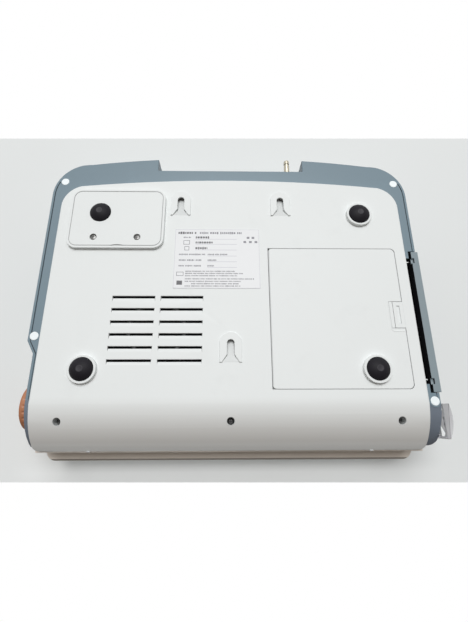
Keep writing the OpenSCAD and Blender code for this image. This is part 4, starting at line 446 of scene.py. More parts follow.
# Finish: maker, material, colour, second colour, then the maker's other settings. A colour is a name of the
# finishes, alone or with how bright it is.
FINISHES = {
    # The pan's white darkens along its front curve, a painted shade
    "pan": (pan_plastic, "pan_plastic", "white", ("white", 0.8), {}),
    "white": (plastic, "white_plastic", "white", ("white", 0.8), SATIN),
    # Painted shade: the lip's underside, and in the next row a painted shadow strip along its edge
    "lip": (plastic, "lip_plastic", "lip", ("white", 0.8), SATIN),
    "seam": (plastic, "seam_plastic", ("lip", 0.35), ("lip", 0.5), LINE),
    # Painted shade: darker copies of the white for keyhole floors, screw wells and creases
    "shade": (plastic, "recess_plastic", ("white", 0.84), ("white", 0.75), dict(rough=0.5, drift=0.04)),
    "well": (plastic, "well_plastic", ("white", 0.62), ("white", 0.68), DIM),
    "crease": (plastic, "crease_plastic", ("white", 0.45), ("white", 0.5), DIM),
    # Painted shade: near black for the walls of narrow recesses
    "crevice": (plastic, "crevice_plastic", "crevice", ("crevice", 1.6), dict(rough=0.7, drift=0.2)),
    "grey": (plastic, "blue_grey_plastic", "grey", ("grey", 1.25), MOULDED),
    # Painted shade: darker blue-grey for the skirt's curved front
    "cheek": (plastic, "cheek_plastic", "cheek", ("cheek", 1.25), MOULDED),
    "door_grey": (plastic, "door_plastic", "door_grey", ("door_grey", 1.2), MOULDED),
    # Painted shade in the skirt's groove
    "groove": (plastic, "groove_plastic", ("grey", 0.3), ("grey", 0.5), LINE),
    "plug": (plastic, "plug_plastic", "plug", ("white", 0.8), dict(rough=0.4, drift=0.02)),
    "socket": (plastic, "socket_plastic", ("white", 0.82), ("white", 0.8), dict(rough=0.38, drift=0.04)),
    "black": (plastic, "black_plastic", "black", ("rubber", 3.0), dict(rough=0.42, drift=0.1, amount=0.3)),
    # Dark cloth behind the vents, which also stands in for the shade inside
    "cloth": (plastic, "vent_cloth", ("black", 0.4), "black", dict(rough=0.9, drift=0.2, shine=0.05)),
    "rubber": (plastic, "foot_rubber", "rubber", ("rubber", 3.0),
               dict(rough=0.58, drift=0.2, grain=1100.0, amount=0.25, bump=0.25, shine=0.2)),
    "rubber_worn": (plastic, "worn_rubber", ("rubber", 1.6), ("rubber", 3.0),
                    dict(rough=0.55, drift=0.25, grain=900.0, amount=0.4)),
    "orange": (plastic, "orange_plastic", "orange", ("orange", 1.3),
               dict(rough=0.38, drift=0.06, coat=0.1)),
    "key": (plastic, "key_plastic", "key", ("key", 1.2), dict(rough=0.42, drift=0.04)),
    "green": (plastic, "switch_plastic", "green", ("green", 2.0), dict(rough=0.25, drift=0.1, coat=0.3)),
    "paper": (plastic, "paper", "paper", ("paper", 0.9),
              dict(rough=0.8, drift=0.04, grain=700.0, amount=0.2, bump=0.3)),
    "film": (plastic, "label_film", "film", ("white", 0.8),
             dict(rough=0.36, drift=0.02, grain=900.0, amount=0.08, bump=0.04, shine=0.3)),
    "ink": (plastic, "dark_ink", "ink", ("ink", 2.5), INK),
    "ink_mid": (plastic, "grey_ink", ("ink", 2.9), ("ink", 4.2), INK),
    "ink_pale": (plastic, "pale_ink", ("ink", 6.6), ("ink", 8.0), {**INK, "drift": 0.2}),
    "steel": (metal, "bright_steel", "steel", ("steel", 0.5), dict(rough=0.28)),
    "screw": (metal, "screw_steel", ("steel", 0.55), ("steel", 0.25), dict(rough=0.36)),
    "shield": (metal, "shield_tin", ("steel", 0.9), ("steel", 0.55), dict(rough=0.4, amount=0.3)),
    "nickel": (metal, "nickelled_brass", "nickel", "tarnish", dict(rough=0.26, amount=0.35)),
    "clear": (milky, "milky_plastic", "tint", None, {}),
    # Lighter and darker copies of the milky plastic: a painted highlight along the button's rim and a
    # painted shade line along its crown
    "clear_rim": (milky, "milky_rim", ("tint", 1.4), None, {}),
    "clear_line": (milky, "milky_line", ("tint", 0.5), None, {}),
    "glass": (screen_glass, "screen_glass", "glass", None, {}),
    "amber": (lens_plastic, "amber_lens", "amber", None, {}),
    "board": (circuit_board, "circuit_board", "board", "copper", {}),
}


def material(key):
    """The named finish, made the first time it is asked for."""
    if key not in MATERIALS:
        colours = bpy.context.scene.monitor_finish
        maker, name, *tones, settings = FINISHES[key]
        if maker is pan_plastic:
            # The pan's painted shade colour goes in as its tint
            settings = {"tint": colours.curve}
        mixed = []
        for tone in filter(None, tones):
            tone, share = (tone, 1.0) if isinstance(tone, str) else tone
            mixed.append(scaled(getattr(colours, tone), share))
        MATERIALS[key] = maker(name, *mixed, **settings)
    return MATERIALS[key]


# Meshes and pieces


def middle(low, high):
    return (low + high) / 2


def middle_xy(low, high):
    centre = middle(low, high)
    return Vector((centre.x, centre.y, 0))


def pan_plane():
    """Height of the pan's underside."""
    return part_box("battery_door")[0].z + RING_STEP


def within(p, low, high, grow=0.0):
    """Whether a point lies over a box, seen along Z."""
    return all(low[a] - grow < p[a] < high[a] + grow for a in (0, 1))


def solid(node):
    """A merged copy of a solid's mesh, with its flat faces joined up."""
    bm = bmesh.new()
    bm.from_mesh(frame["nodes"][node].data)
    flat = math.radians(0.5)
    bmesh.ops.remove_doubles(bm, verts=bm.verts[:], dist=MERGE)
    bmesh.ops.dissolve_limit(bm, angle_limit=flat, verts=bm.verts[:], edges=bm.edges[:])
    bm.normal_update()
    return bm


def islands(node):
    """Boxes of the separate solids in a node, as (low, high) corners."""
    bm = solid(node)
    left, found = set(bm.verts), []
    while left:
        stack, member = [left.pop()], []
        while stack:
            v = stack.pop()
            member.append(v.co.copy())
            near = {e.other_vert(v) for e in v.link_edges} & left
            left -= near
            stack += near
        found.append([Vector(end(axis) for axis in zip(*member)) for end in (min, max)])
    bm.free()
    return sorted(found, key=lambda box: tuple(box[0]))


def reach(face, edge):
    """How far a face goes from one of its edges."""
    start = edge.verts[0].co
    along = (edge.verts[1].co - start).normalized()
    return max(((v.co - start) - along * (v.co - start).dot(along)).length for v in face.verts)


def soften(bm, width, segments=2, pick=None):
    """Rounds the outward edges that are sharp and have room for it."""
    sharp, room = math.radians(38.0), 2.2 * width
    edges = []
    for edge in bm.edges:
        if len(edge.link_faces) != 2 or not edge.is_convex or edge.calc_length() < TINY:
            continue
        if edge.calc_face_angle(0.0) < sharp or pick and not pick(middle(*(v.co for v in edge.verts))):
            continue
        if min(reach(f, edge) for f in edge.link_faces) > room:
            edges.append(edge)
    if edges:
        bmesh.ops.bevel(bm, geom=edges, offset=width, offset_type="OFFSET", segments=segments, profile=0.5,
                        affect="EDGES", clamp_overlap=False)
    bm.normal_update()
    return bm


def rounded(width, segments, pick):
    """A first step for `dressed` that rounds the picked edges."""
    return lambda bm: soften(bm, width, segments, pick)


def cut(bm, place, normal, dist):
    """Cuts a line round a mesh along a plane, and takes nothing away."""
    every = bm.verts[:] + bm.edges[:] + bm.faces[:]
    bmesh.ops.bisect_plane(bm, geom=every, dist=dist, plane_co=place, plane_no=normal)


def outward(bm):
    bmesh.ops.recalc_face_normals(bm, faces=bm.faces[:])
    return bm


def bake(ob):
    """Turns an object's modifiers into plain mesh."""
    evaluated = ob.evaluated_get(bpy.context.evaluated_depsgraph_get())
    mesh = bpy.data.meshes.new_from_object(evaluated)
    old = ob.data
    ob.modifiers.clear()
    ob.data = mesh
    bpy.data.meshes.remove(old)
    return ob


def add_object(name, data):
    ob = bpy.data.objects.new(name, data)
    bpy.context.scene.collection.objects.link(ob)
    return ob


def smooth_shade(mesh, degrees):
    mesh.shade_smooth()
    mesh.set_sharp_from_angle(angle=math.radians(degrees))


def settle(ob, body, stands_for=()):
    """Rides a finished piece on its body and hides the solids it stands for."""
    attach(ob, body)
    if stands_for:
        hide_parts(*stands_for)
    return ob


def piece(name, bm, keys, body, stands_for=(), smooth=SMOOTH):
    """Makes a finished piece of a mesh."""
    mesh = bpy.data.meshes.new(name)
    bm.to_mesh(mesh)
    bm.free()
    for key in keys:
        mesh.materials.append(material(key))
    smooth_shade(mesh, smooth)
    ob = add_object(name, mesh)
    ob.modifiers.new("Weighted normals", "WEIGHTED_NORMAL").keep_sharp = True
    return settle(bake(ob), body, stands_for)


def stand_in(node, name, bm, keys, smooth=SMOOTH):
    """A piece that takes a solid's place."""
    return piece(name, bm, keys, BODY[node], [node], smooth)


def dressed(node, keys, width, segments=2, first=None, paint=None):
    """A solid's own shape with soft edges and finishes. `first` works on the mesh before its plain edges
    are rounded, and `paint` names a face's finish from its middle and its normal."""
    bm = solid(node)
    if first:
        first(bm)
    soften(bm, width, segments)
    if paint:
        for face in bm.faces:
            face.material_index = keys.index(paint(face.calc_center_median(), face.normal))
    return stand_in(node, node + "_skin", bm, keys)


def dress_plain(nodes):
    """Solids with one finish each and edges rounded by so many millimetres."""
    for node, (key, width) in nodes.items():
        dressed(node, [key], width * MM)


def painted(key, *nodes):
    """Solids that keep their own meshes and get a finish."""
    for node in nodes:
        ob = frame["nodes"][node]
        if not ob.data.materials:
            ob.data.materials.append(material(key))
        for slot in ob.material_slots:
            slot.material = material(key)


# Turns a point on the Z axis onto the named one
AXES = {
    "X": Matrix(((0, 0, 1), (1, 0, 0), (0, 1, 0))),
    "Y": Matrix(((0, 1, 0), (0, 0, 1), (1, 0, 0))),
    "Z": Matrix.Identity(3),
}


def lathe(bm, profile, centre, steps, axis="Z", shape=None, index=None):
    """Turns (radius, height) points round an axis through a point. shape(angle, height) scales the radius,
    and index(n) gives the finish of the band after the nth point."""
    rings = []
    for r, h in profile:
        ring = []
        for k in range(steps if r > TINY else 1):
            a = 2 * math.pi * k / steps
            q = r * (shape(a, h) if shape else 1.0)
            spot = AXES[axis] @ Vector((q * math.cos(a), q * math.sin(a), h))
            ring.append(bm.verts.new(Vector(centre) + spot))
        rings.append(ring)
    for n, (low, high) in enumerate(zip(rings, rings[1:])):
        for k in range(steps):
            j = (k + 1) % steps
            corners = (low[k % len(low)], low[j % len(low)], high[j % len(high)], high[k % len(high)])
            unique = list(dict.fromkeys(corners))
            if len(unique) > 2:
                face = bm.faces.new(unique)
                face.material_index = index(n) if index else 0
    return bm


def stepped(r, h, *offsets):
    """Points of a profile, as offsets in millimetres from one of its points."""
    return [(r + out * MM, h + up * MM) for out, up in offsets]


def box_into(bm, low, high, index=0):
    made = bmesh.ops.create_cube(bm, size=1.0)["verts"]
    for v in made:
        v.co = Vector(low[a] if v.co[a] < 0 else high[a] for a in range(3))
    for face in {f for v in made for f in v.link_faces}:
        face.material_index = index


def rows_into(bm, rows, index=0):
    """Closed skin over rows of points, with both ends."""
    made = [bm.faces.new(rows[0]), bm.faces.new(rows[-1])]
    for one, two in zip(rows, rows[1:]):
        for k in range(len(one)):
            n = (k + 1) % len(one)
            made.append(bm.faces.new((one[k], one[n], two[n], two[k])))
    for face in made:
        face.material_index = index
    bmesh.ops.recalc_face_normals(bm, faces=made)


def bead_into(bm, path, z, half, height):
    """Low rounded bead along a path on a surface that faces down."""
    section = ((-1, 0.4), (-0.5, -0.75), (0, -1), (0.5, -0.75), (1, 0.4))
    spots = [Vector((x, y, z)) for x, y in path]
    rows = []
    for k, spot in enumerate(spots):
        along = (spots[min(k + 1, len(spots) - 1)] - spots[max(k - 1, 0)]).normalized()
        across, up = Vector((-along.y, along.x, 0)) * half, Vector((0, 0, height))
        rows.append([bm.verts.new(spot + across * a + up * b) for a, b in section])
    rows_into(bm, rows)


def prism_into(bm, outline, low, high, index=0):
    """Upright prism over an outline of (x, y) points."""
    rows_into(bm, [[bm.verts.new((x, y, z)) for x, y in outline] for z in (low, high)], index)


# Geometry node trees


def geometry_tree(name, inputs):
    """A new geometry tree with named inputs; returns the tree and the sockets that come in."""
    tree = bpy.data.node_groups.new(name, "GeometryNodeTree")
    kinds = {int: "NodeSocketInt", float: "NodeSocketFloat"}
    tree.interface.new_socket("Geometry", in_out="INPUT", socket_type="NodeSocketGeometry")
    for label, value in inputs.items():
        kind = kinds.get(type(value), "NodeSocketMaterial")
        socket = tree.interface.new_socket(label, in_out="INPUT", socket_type=kind)
        if value is not None:
            socket.default_value = value
    tree.interface.new_socket("Geometry", in_out="OUTPUT", socket_type="NodeSocketGeometry")
    return tree, tree.nodes.new("NodeGroupInput").outputs


def named(tree, attribute, kind):
    inputs = {"Name": attribute}
    return add_node(tree, "GeometryNodeInputNamedAttribute", inputs, data_type=kind).outputs[0]


def moved(tree, geometry, **how):
    return add_node(tree, "GeometryNodeTransform", {"Geometry": geometry, **how}).outputs[0]


def on_points(tree, points, instance, **more):
    inputs = {"Points": points, "Instance": instance, **more}
    return add_node(tree, "GeometryNodeInstanceOnPoints", inputs).outputs[0]


def close_tree(tree, i, instances, marked=None):
    """Realizes the instances and sets their material, with another one where an attribute is set."""
    real = add_node(tree, "GeometryNodeRealizeInstances", {0: instances}).outputs[0]
    inputs = {"Geometry": real, "Material": i["Material"]}
    done = add_node(tree, "GeometryNodeSetMaterial", inputs).outputs[0]
    if marked:
        mark = named(tree, marked, "BOOLEAN")
        inputs = {"Geometry": done, "Selection": mark, "Material": i["Slot material"]}
        done = add_node(tree, "GeometryNodeSetMaterial", inputs).outputs[0]
    add_node(tree, "NodeGroupOutput", {0: done})
    return tree


def screw_tree():
    """A cross-slotted pan head on each point, facing down."""
    tree, i = geometry_tree("Cross screws", {
        "Radius": 3 * MM, "Height": 2 * MM, "Slot length": 3.6 * MM, "Slot width": 0.9 * MM,
        "Slot depth": 1.2 * MM, "Material": None, "Slot material": None})
    dome = add_node(tree, "GeometryNodeMeshUVSphere", {"Segments": 40, "Rings": 24, "Radius": i["Radius"]})
    flat = vector(tree, 1.0, 1.0, math_node(tree, "DIVIDE", i["Height"], i["Radius"]))
    head = moved(tree, dome.outputs["Mesh"], Scale=flat)
    drop = vector(tree, 0.0, 0.0, math_node(tree, "MULTIPLY", i["Height"], -1.0))
    deep = math_node(tree, "MULTIPLY", i["Slot depth"], 2.0)
    for x, y in (("Slot length", "Slot width"), ("Slot width", "Slot length")):
        cube = add_node(tree, "GeometryNodeMeshCube", {"Size": vector(tree, i[x], i[y], deep)})
        cutter = moved(tree, cube.outputs["Mesh"], Translation=drop)
        inputs = {"Geometry": cutter, "Name": "slot", "Value": True}
        slot = add_node(tree, "GeometryNodeStoreNamedAttribute", inputs, data_type="BOOLEAN", domain="FACE")
        left = add_node(tree, "GeometryNodeMeshBoolean", {0: head, 1: slot.outputs[0]},
                        operation="DIFFERENCE", solver="EXACT")
        head = left.outputs[0]
    return close_tree(tree, i, on_points(tree, i["Geometry"], head), "slot")


def bar_tree():
    """A flat printed bar on each point, as large as the point's "size" attribute."""
    tree, i = geometry_tree("Printed bars", {"Thickness": 0.02 * MM, "Material": None})
    cube = add_node(tree, "GeometryNodeMeshCube", {"Size": (1.0, 1.0, 1.0)}).outputs["Mesh"]
    across = apart(tree, named(tree, "size", "FLOAT_VECTOR"))
    full = vector(tree, across["X"], across["Y"], i["Thickness"])
    return close_tree(tree, i, on_points(tree, i["Geometry"], cube, Scale=full))


def contact_tree():
    """A ring of round contacts about each point, lying along X."""
    tree, i = geometry_tree("Ring of contacts", {
        "Count": 6, "Ring radius": 3 * MM, "Radius": 0.5 * MM, "Length": 4 * MM, "Material": None})
    circle = add_node(tree, "GeometryNodeMeshCircle", {"Vertices": i["Count"], "Radius": i["Ring radius"]})
    inputs = {"Vertices": 16, "Radius": i["Radius"], "Depth": i["Length"]}
    pin = add_node(tree, "GeometryNodeMeshCylinder", inputs)
    ring = on_points(tree, circle.outputs["Mesh"], pin.outputs["Mesh"])
    laid = moved(tree, ring, Rotation=(0.0, math.pi / 2, 0.0))
    return close_tree(tree, i, on_points(tree, i["Geometry"], laid))


TREES = {}


def grown(name, maker, points, values, body, extents=None):
    """Runs a geometry tree on points, which may have sizes, and keeps its result as a plain piece."""
    if maker not in TREES:
        TREES[maker] = maker()
    tree = TREES[maker]
    mesh = bpy.data.meshes.new(name)
    mesh.from_pydata([tuple(p) for p in points], [], [])
    if extents:
        layer = mesh.attributes.new("size", "FLOAT_VECTOR", "POINT")
        layer.data.foreach_set("vector", [c for row in extents for c in row])
    ob = add_object(name, mesh)
    modifier = ob.modifiers.new(tree.name, "NODES")
    modifier.node_group = tree
    ids = {s.name: s.identifier for s in tree.interface.items_tree if s.in_out == "INPUT"}
    for label, value in values.items():
        modifier[ids[label]] = value
    bake(ob)
    smooth_shade(ob.data, SMOOTH_GROWN)
    return settle(ob, body)


# Operators, one for each group of pieces

DONE = {"FINISHED"}


class MonitorOperator:
    """What all the operators share"""
    bl_options = {"REGISTER", "UNDO"}


class MONITOR_OT_bottom_pan(MonitorOperator, bpy.types.Operator):
    """White bottom pan with rounded edges, foot rings, keyholes, vents, and painted shade in its recesses
    and along its front curve
    """
    bl_idname = "monitor.bottom_pan"
    bl_label = "Bottom pan"

    def execute(self, context):
        s = sizes()
        low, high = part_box("bottom_pan")
        plane = pan_plane()
        keys = ["pan", "crevice", "shade", "crease", "well"]
        first = rounded(s.pan_edge, 3, self.outline(high.x - 0.2 * MM, plane))
        dressed("bottom_pan", keys, s.edge, 2, first, self.paint(plane))
        self.tabs(s, low.y)
        self.cloth(s)
        return DONE

    def outline(self, side, plane):
        corner, corner_y, rear = 26 * MM, 88 * MM, 108 * MM

        def pick(p):
            at_corner = abs(p.x) > side - corner and p.y > corner_y
            return abs(p.z - plane) < NEAR and (abs(p.x) > side or at_corner or p.y > rear)

        return pick

    def paint(self, plane):
        low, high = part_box("battery_door")
        pins, seam_w, seam_d = 4 * MM, 1.2 * MM, 4.4 * MM
        door = (low.x, low.y + pins), (high.x, high.y - pins)
        keyholes = [(x * MM, y * MM) for x, y in ((-50, 96.2), (50, 96.2), (0, -50.7))]
        hole_half, hole_l, hole_end, hole_d = 8.8 * MM, 20.7 * MM, 0.5 * MM, 4.1 * MM
        vents, vent_d = ((20 * MM, -75 * MM), (115 * MM, -5 * MM)), 2.6 * MM
        wells, well_r = [middle(*box) for box in islands("front_screws")], 4 * MM
        surface = 0.03 * MM

        # Painted shade: near-black walls at the door's seam, the keyholes and the vents, greyer keyhole
        # floors and vent ends, and darker screw wells
        def choose(p, n):
            depth = p.z - plane
            wall, floor, slope = abs(n.z) < UPRIGHT, n.z <= -0.95, abs(n.x) > 0.25
            if wall and NEAR < depth < seam_d and within(p, *door, seam_w):
                return "crevice"
            for x, y in keyholes:
                if abs(p.x - x) < hole_half and -hole_l < p.y - y < hole_end and depth < hole_d:
                    if depth < surface:
                        return "pan"
                    return "shade" if floor else "crevice"
            if within(p, *vents) and surface < depth < vent_d:
                return "crevice" if wall else "crease" if slope else "pan"
            return "well" if any((p - well).xy.length < well_r for well in wells) else "pan"

        return choose

    def tabs(self, s, front):
        half, proud, sunk, foot, top = s.tab_w / 2, 0.6 * MM, 0.4 * MM, 27.4 * MM, 29.2 * MM
        bm = bmesh.new()
        for x in (-s.tab_x, s.tab_x):
            box_into(bm, (x - half, front - proud, foot), (x + half, front + sunk, top))
        soften(bm, 0.2 * MM)
        # The tabs take the darker well finish, a painted shade that dims them
        piece("pan_tabs", bm, ["well"], "base")

    # Near-black cloth behind the vent slits, which also stands in for the shade inside so the slits read
    # dark
    def cloth(self, s):
        low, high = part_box("speaker")
        r, z = (high.x - low.x) / 2 + 0.2 * MM, low.z + NEAR
        top = z + s.cloth_t
        ring = [(r, z), (s.cloth_r, z), (s.cloth_r, top), (r, top), (r, z)]
        bm = lathe(bmesh.new(), ring, middle_xy(low, high), steps=96)
        piece("vent_cloth", outward(bm), ["cloth"], "base")


class MONITOR_OT_skirt(MonitorOperator, bpy.types.Operator):
    """Blue-grey skirt round the pan, with painted shade on its curved front and in its groove"""
    bl_idname = "monitor.skirt"
    bl_label = "Skirt"

    def execute(self, context):
        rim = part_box("skirt_frame")[0].z
        rear, rear_half = 130 * MM, 150 * MM
        cheek_left, cheek = -97.2 * MM, -102.2 * MM
        groove_x, groove_d = 176 * MM, 1.2 * MM

        def edge(p):
            return abs(p.z - rim) < NEAR and p.y > rear and abs(p.x) < rear_half

        # Painted shade: the curved front takes the darker cheek colour, and the groove's walls take a
        # darker blue-grey still
        def paint(p, n):
            if p.y < (cheek_left if p.x < 0 else cheek):
                return "cheek"
            along = abs(n.x) < 0.98
            return "groove" if abs(p.x) > groove_x and NEAR < p.z - rim < groove_d and along else "grey"

        first = rounded(sizes().rim_edge, 3, edge)
        dressed("skirt_frame", ["grey", "groove", "cheek"], 0.12 * MM, 1, first, paint)
        return DONE


class MONITOR_OT_top_housing(MonitorOperator, bpy.types.Operator):
    """White top housing with its front lip, with painted shade under the lip and a painted shadow strip
    along its edge
    """
    bl_idname = "monitor.top_housing"
    bl_label = "Top housing"

    def execute(self, context):
        s = sizes()
        low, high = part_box("top_housing")
        seam = low.y + s.lip_shadow_w
        side, front, rear = 150 * MM, -140 * MM, 125 * MM
        lip_y, lip_z = -144.5 * MM, 70 * MM

        def edge(p):
            return abs(p.z - high.z) < NEAR and (abs(p.x) > side or not front < p.y < rear)

        def first(bm):
            soften(bm, s.deck_edge, 4, edge)
            cut(bm, (0, seam, 0), (0, 1, 0), MERGE)

        # Painted shade: faces under the lip take the darker lip colour, and the strip along its front edge
        # takes a darker one still, a painted shadow
        def paint(p, n):
            below = n.z <= -0.4
            if p.y > lip_y or p.z > lip_z or not below:
                return "white"
            return "seam" if p.y < seam else "lip"

        dressed("top_housing", ["white", "lip", "seam"], s.edge, 2, first, paint)
        return DONE


class MONITOR_OT_service_cover(MonitorOperator, bpy.types.Operator):
    """Service cover with a rounded rim"""
    bl_idname = "monitor.service_cover"
    bl_label = "Service cover"

    def execute(self, context):
        low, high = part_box("service_cover")
        r, rim_w, seam = 10 * MM, 1 * MM, 1.9 * MM

        def rim(p):
            corner = all(min(p[a] - low[a], high[a] - p[a]) < r for a in (0, 1))
            return abs(p.z - low.z) < NEAR and (corner or not within(p, low, high, -rim_w))

        # Painted shade: the walls of the cover's seam groove, up to this depth, take the darker well finish
        def paint(p, n):
            away = [max(0.0, low[a] + r - p[a], p[a] - high[a] + r) for a in (0, 1)]
            return "well" if NEAR < p.z - low.z < seam and math.hypot(*away) < r - seam else "white"

        first = rounded(sizes().cover_edge, 4, rim)
        dressed("service_cover", ["white", "well"], 0.25 * MM, 2, first, paint)
        return DONE


class MONITOR_OT_feet(MonitorOperator, bpy.types.Operator):
    """Domed rubber feet"""
    bl_idname = "monitor.feet"
    bl_label = "Feet"

    def execute(self, context):
        for node, name in (("base_feet", "rubber_feet"), ("battery_door_foot", "rubber_door_foot")):
            bm = bmesh.new()
            for low, high in islands(node):
                self.foot(bm, low, high)
            stand_in(node, name, outward(bm), ["rubber", "rubber_worn"])
        return DONE

    def foot(self, bm, low, high):
        s = sizes()
        r, dome, lip, spot = (high.x - low.x) / 2, s.foot_dome, s.foot_lip, s.foot_spot
        base, stem, top = high.z - 5 * MM, 2.5 * MM, dome - 0.25 * MM
        rim = top - math.sqrt(dome ** 2 - (r - lip) ** 2)
        start, end, steps = math.asin(spot * 1.02 / dome), math.asin((r - lip) / dome), 12
        profile = [(0, 0.18 * MM), (spot * 0.72, 0.12 * MM), (spot * 0.95, 0.0)]
        worn = len(profile)
        for k in range(steps + 1):
            a = start + (end - start) * k / steps
            profile.append((dome * math.sin(a), max(top - dome * math.cos(a), 0.0)))
        profile += [(r - lip * 0.3, rim + lip * 0.55), (r, rim + lip * 1.2), (r, base), (stem, base),
                    (stem, high.z - lip), (stem - lip, high.z), (0, high.z)]
        lathe(bm, profile, middle_xy(low, high), steps=72, index=lambda n: 1 if n < worn else 0)


class MONITOR_OT_fasteners(MonitorOperator, bpy.types.Operator):
    """Screws and the plugs over the rim's screws"""
    bl_idname = "monitor.fasteners"
    bl_label = "Fasteners"

    def execute(self, context):
        self.screws("service_cover_screws", 1.2 * MM)
        self.screws("front_screws", 2.4 * MM)
        self.plugs()
        painted("steel", "rim_screws")
        return DONE

    def screws(self, node, head):
        heads = []
        bm = bmesh.new()
        for low, high in islands(node):
            centre, r, seat = middle_xy(low, high), (high.x - low.x) / 2, low.z + head
            shank, collar, under = r * 0.55, r * 0.98, seat - 0.3 * MM
            lathe(bm, [(0, high.z), (r * 0.5, high.z), (shank, high.z - 0.8 * MM), (shank, seat),
                       (collar, seat + 0.1 * MM), (collar, under), (0, under)], centre, steps=32)
            heads.append((centre.x, centre.y, seat))
        stand_in(node, node + "_shanks", outward(bm), ["screw"])
        # The heads' slots take the near-black crevice finish, a painted shade
        grown(node + "_heads", screw_tree, heads, {
            "Radius": r, "Height": head, "Slot length": r * 1.15, "Slot width": r * 0.26,
            "Slot depth": head * 0.6, "Material": material("screw"), "Slot material": material("crevice")},
            BODY[node])

    def plugs(self):
        bm, edge = bmesh.new(), 0.3 * MM
        for low, high in islands("rim_plugs"):
            r, z = (high.x - low.x) / 2, low.z
            lathe(bm, [(0, z + 0.08 * MM), (r * 0.5, z + 0.06 * MM), (r - 2 * edge, z),
                       (r - edge * 0.6, z + edge * 0.25), (r, z + edge), (r, high.z), (0, high.z)],
                  middle_xy(low, high), steps=48)
        stand_in("rim_plugs", "rim_plugs_skin", outward(bm), ["plug"])


class MONITOR_OT_label(MonitorOperator, bpy.types.Operator):
    """Plate on the underside with plain ruled lines and bars"""
    bl_idname = "monitor.label"
    bl_label = "Plate"

    # Rows and blocks in millimetres: v is below the plate's top edge, u and the ends are from its left edge
    head_rows = ((8.9, 33.0), (14.4, 36.5), (20.5, 31.5))
    value_rows = ((27.2, 29.5, 51.5), (33.2, 26.5, 41.0), (39.1, 27.0, 38.0))
    small_rows = ((44.8, 11, 58), (47.0, 11, 66), (49.3, 11, 60), (52.5, 11, 76), (55.0, 11, 63.5),
                  (57.4, 17, 61.5), (59.7, 11, 63))
    blocks = ((69.8, 9.1), (74.6, 9.1), (66.6, 13.7), (72.0, 13.7), (77.4, 13.7))

    def execute(self, context):
        s = sizes()
        dressed("rating_label", ["film"], 0.08 * MM)
        low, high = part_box("rating_label")
        width, depth = ((high - low) / MM).xy
        rule, line = s.rule_w / MM, 0.5
        head_u, value_u = 20.0, 32.0
        pick = random.Random(5)
        bars = {"ink": [], "ink_mid": [], "ink_pale": []}

        def bar(key, u, v, w, h):
            """A bar whose left end is at u and whose middle is at v."""
            place = (high.x - (u + w / 2) * MM, high.y - v * MM, low.z - s.bar_t / 2)
            bars[key].append((place, (w * MM, h * MM, 1.0)))

        def words(key, u, end, v, h):
            """A row of small blocks, spaced like words."""
            while u < end - 0.5 * h:
                for _ in range(pick.randint(3, 8)):
                    w = min(h * pick.uniform(0.4, 0.8), end - u)
                    if w > 0.2 * h:
                        bar(key, u, v, w, h * pick.choice((0.75, 0.8, 1.0)))
                    u += w + 0.22 * h
                u += 0.5 * h

        def frame_of(key, u, v, w, h, t):
            bar(key, u, v - h / 2, w, t)
            bar(key, u, v + h / 2, w, t)
            bar(key, u, v, t, h)
            bar(key, u + w - t, v, t, h)

        words("ink", 3.0, 20.5, 4.0, 2.6)
        words("ink_mid", 24.0, 65.0, 4.0, 2.5)
        for v, end in self.head_rows:
            words("ink", head_u, end, v, 2.6)
            bar("ink_pale", head_u, v + 1.9, 40.0, rule)
        words("ink_mid", 8.3, 15.3, 8.9, 1.4)
        frame_of("ink_mid", 8.3, 14.4, 6.1, 4.0, line)
        frame_of("ink_mid", 9.4, 20.7, 4.6, 3.8, line)
        for v, name_end, end in self.value_rows:
            words("ink_mid", 4.5, name_end, v, 1.7)
            words("ink_mid", value_u, end, v, 1.6)
            bar("ink_pale", value_u, v + 1.6, 28.0, rule)
        for v, start, end in self.small_rows:
            words("ink_mid", start, end, v, 1.3)
        frame_of("ink_pale", 0.2, depth / 2, width - 0.4, depth - 0.5, 0.22)
        frame_of("ink_mid", 2.8, 47.4, 6.7, 3.6, line)
        bar("ink", 3.3, 56.4, 5.2, 4.2)
        for u, v in self.blocks:
            bar("ink_mid", u, v, 2.6, 2.2)
        for key, rows in bars.items():
            places, extents = zip(*rows)
            values = {"Thickness": s.bar_t, "Material": material(key)}
            grown("plate_" + key, bar_tree, places, values, "base", extents)
        return DONE


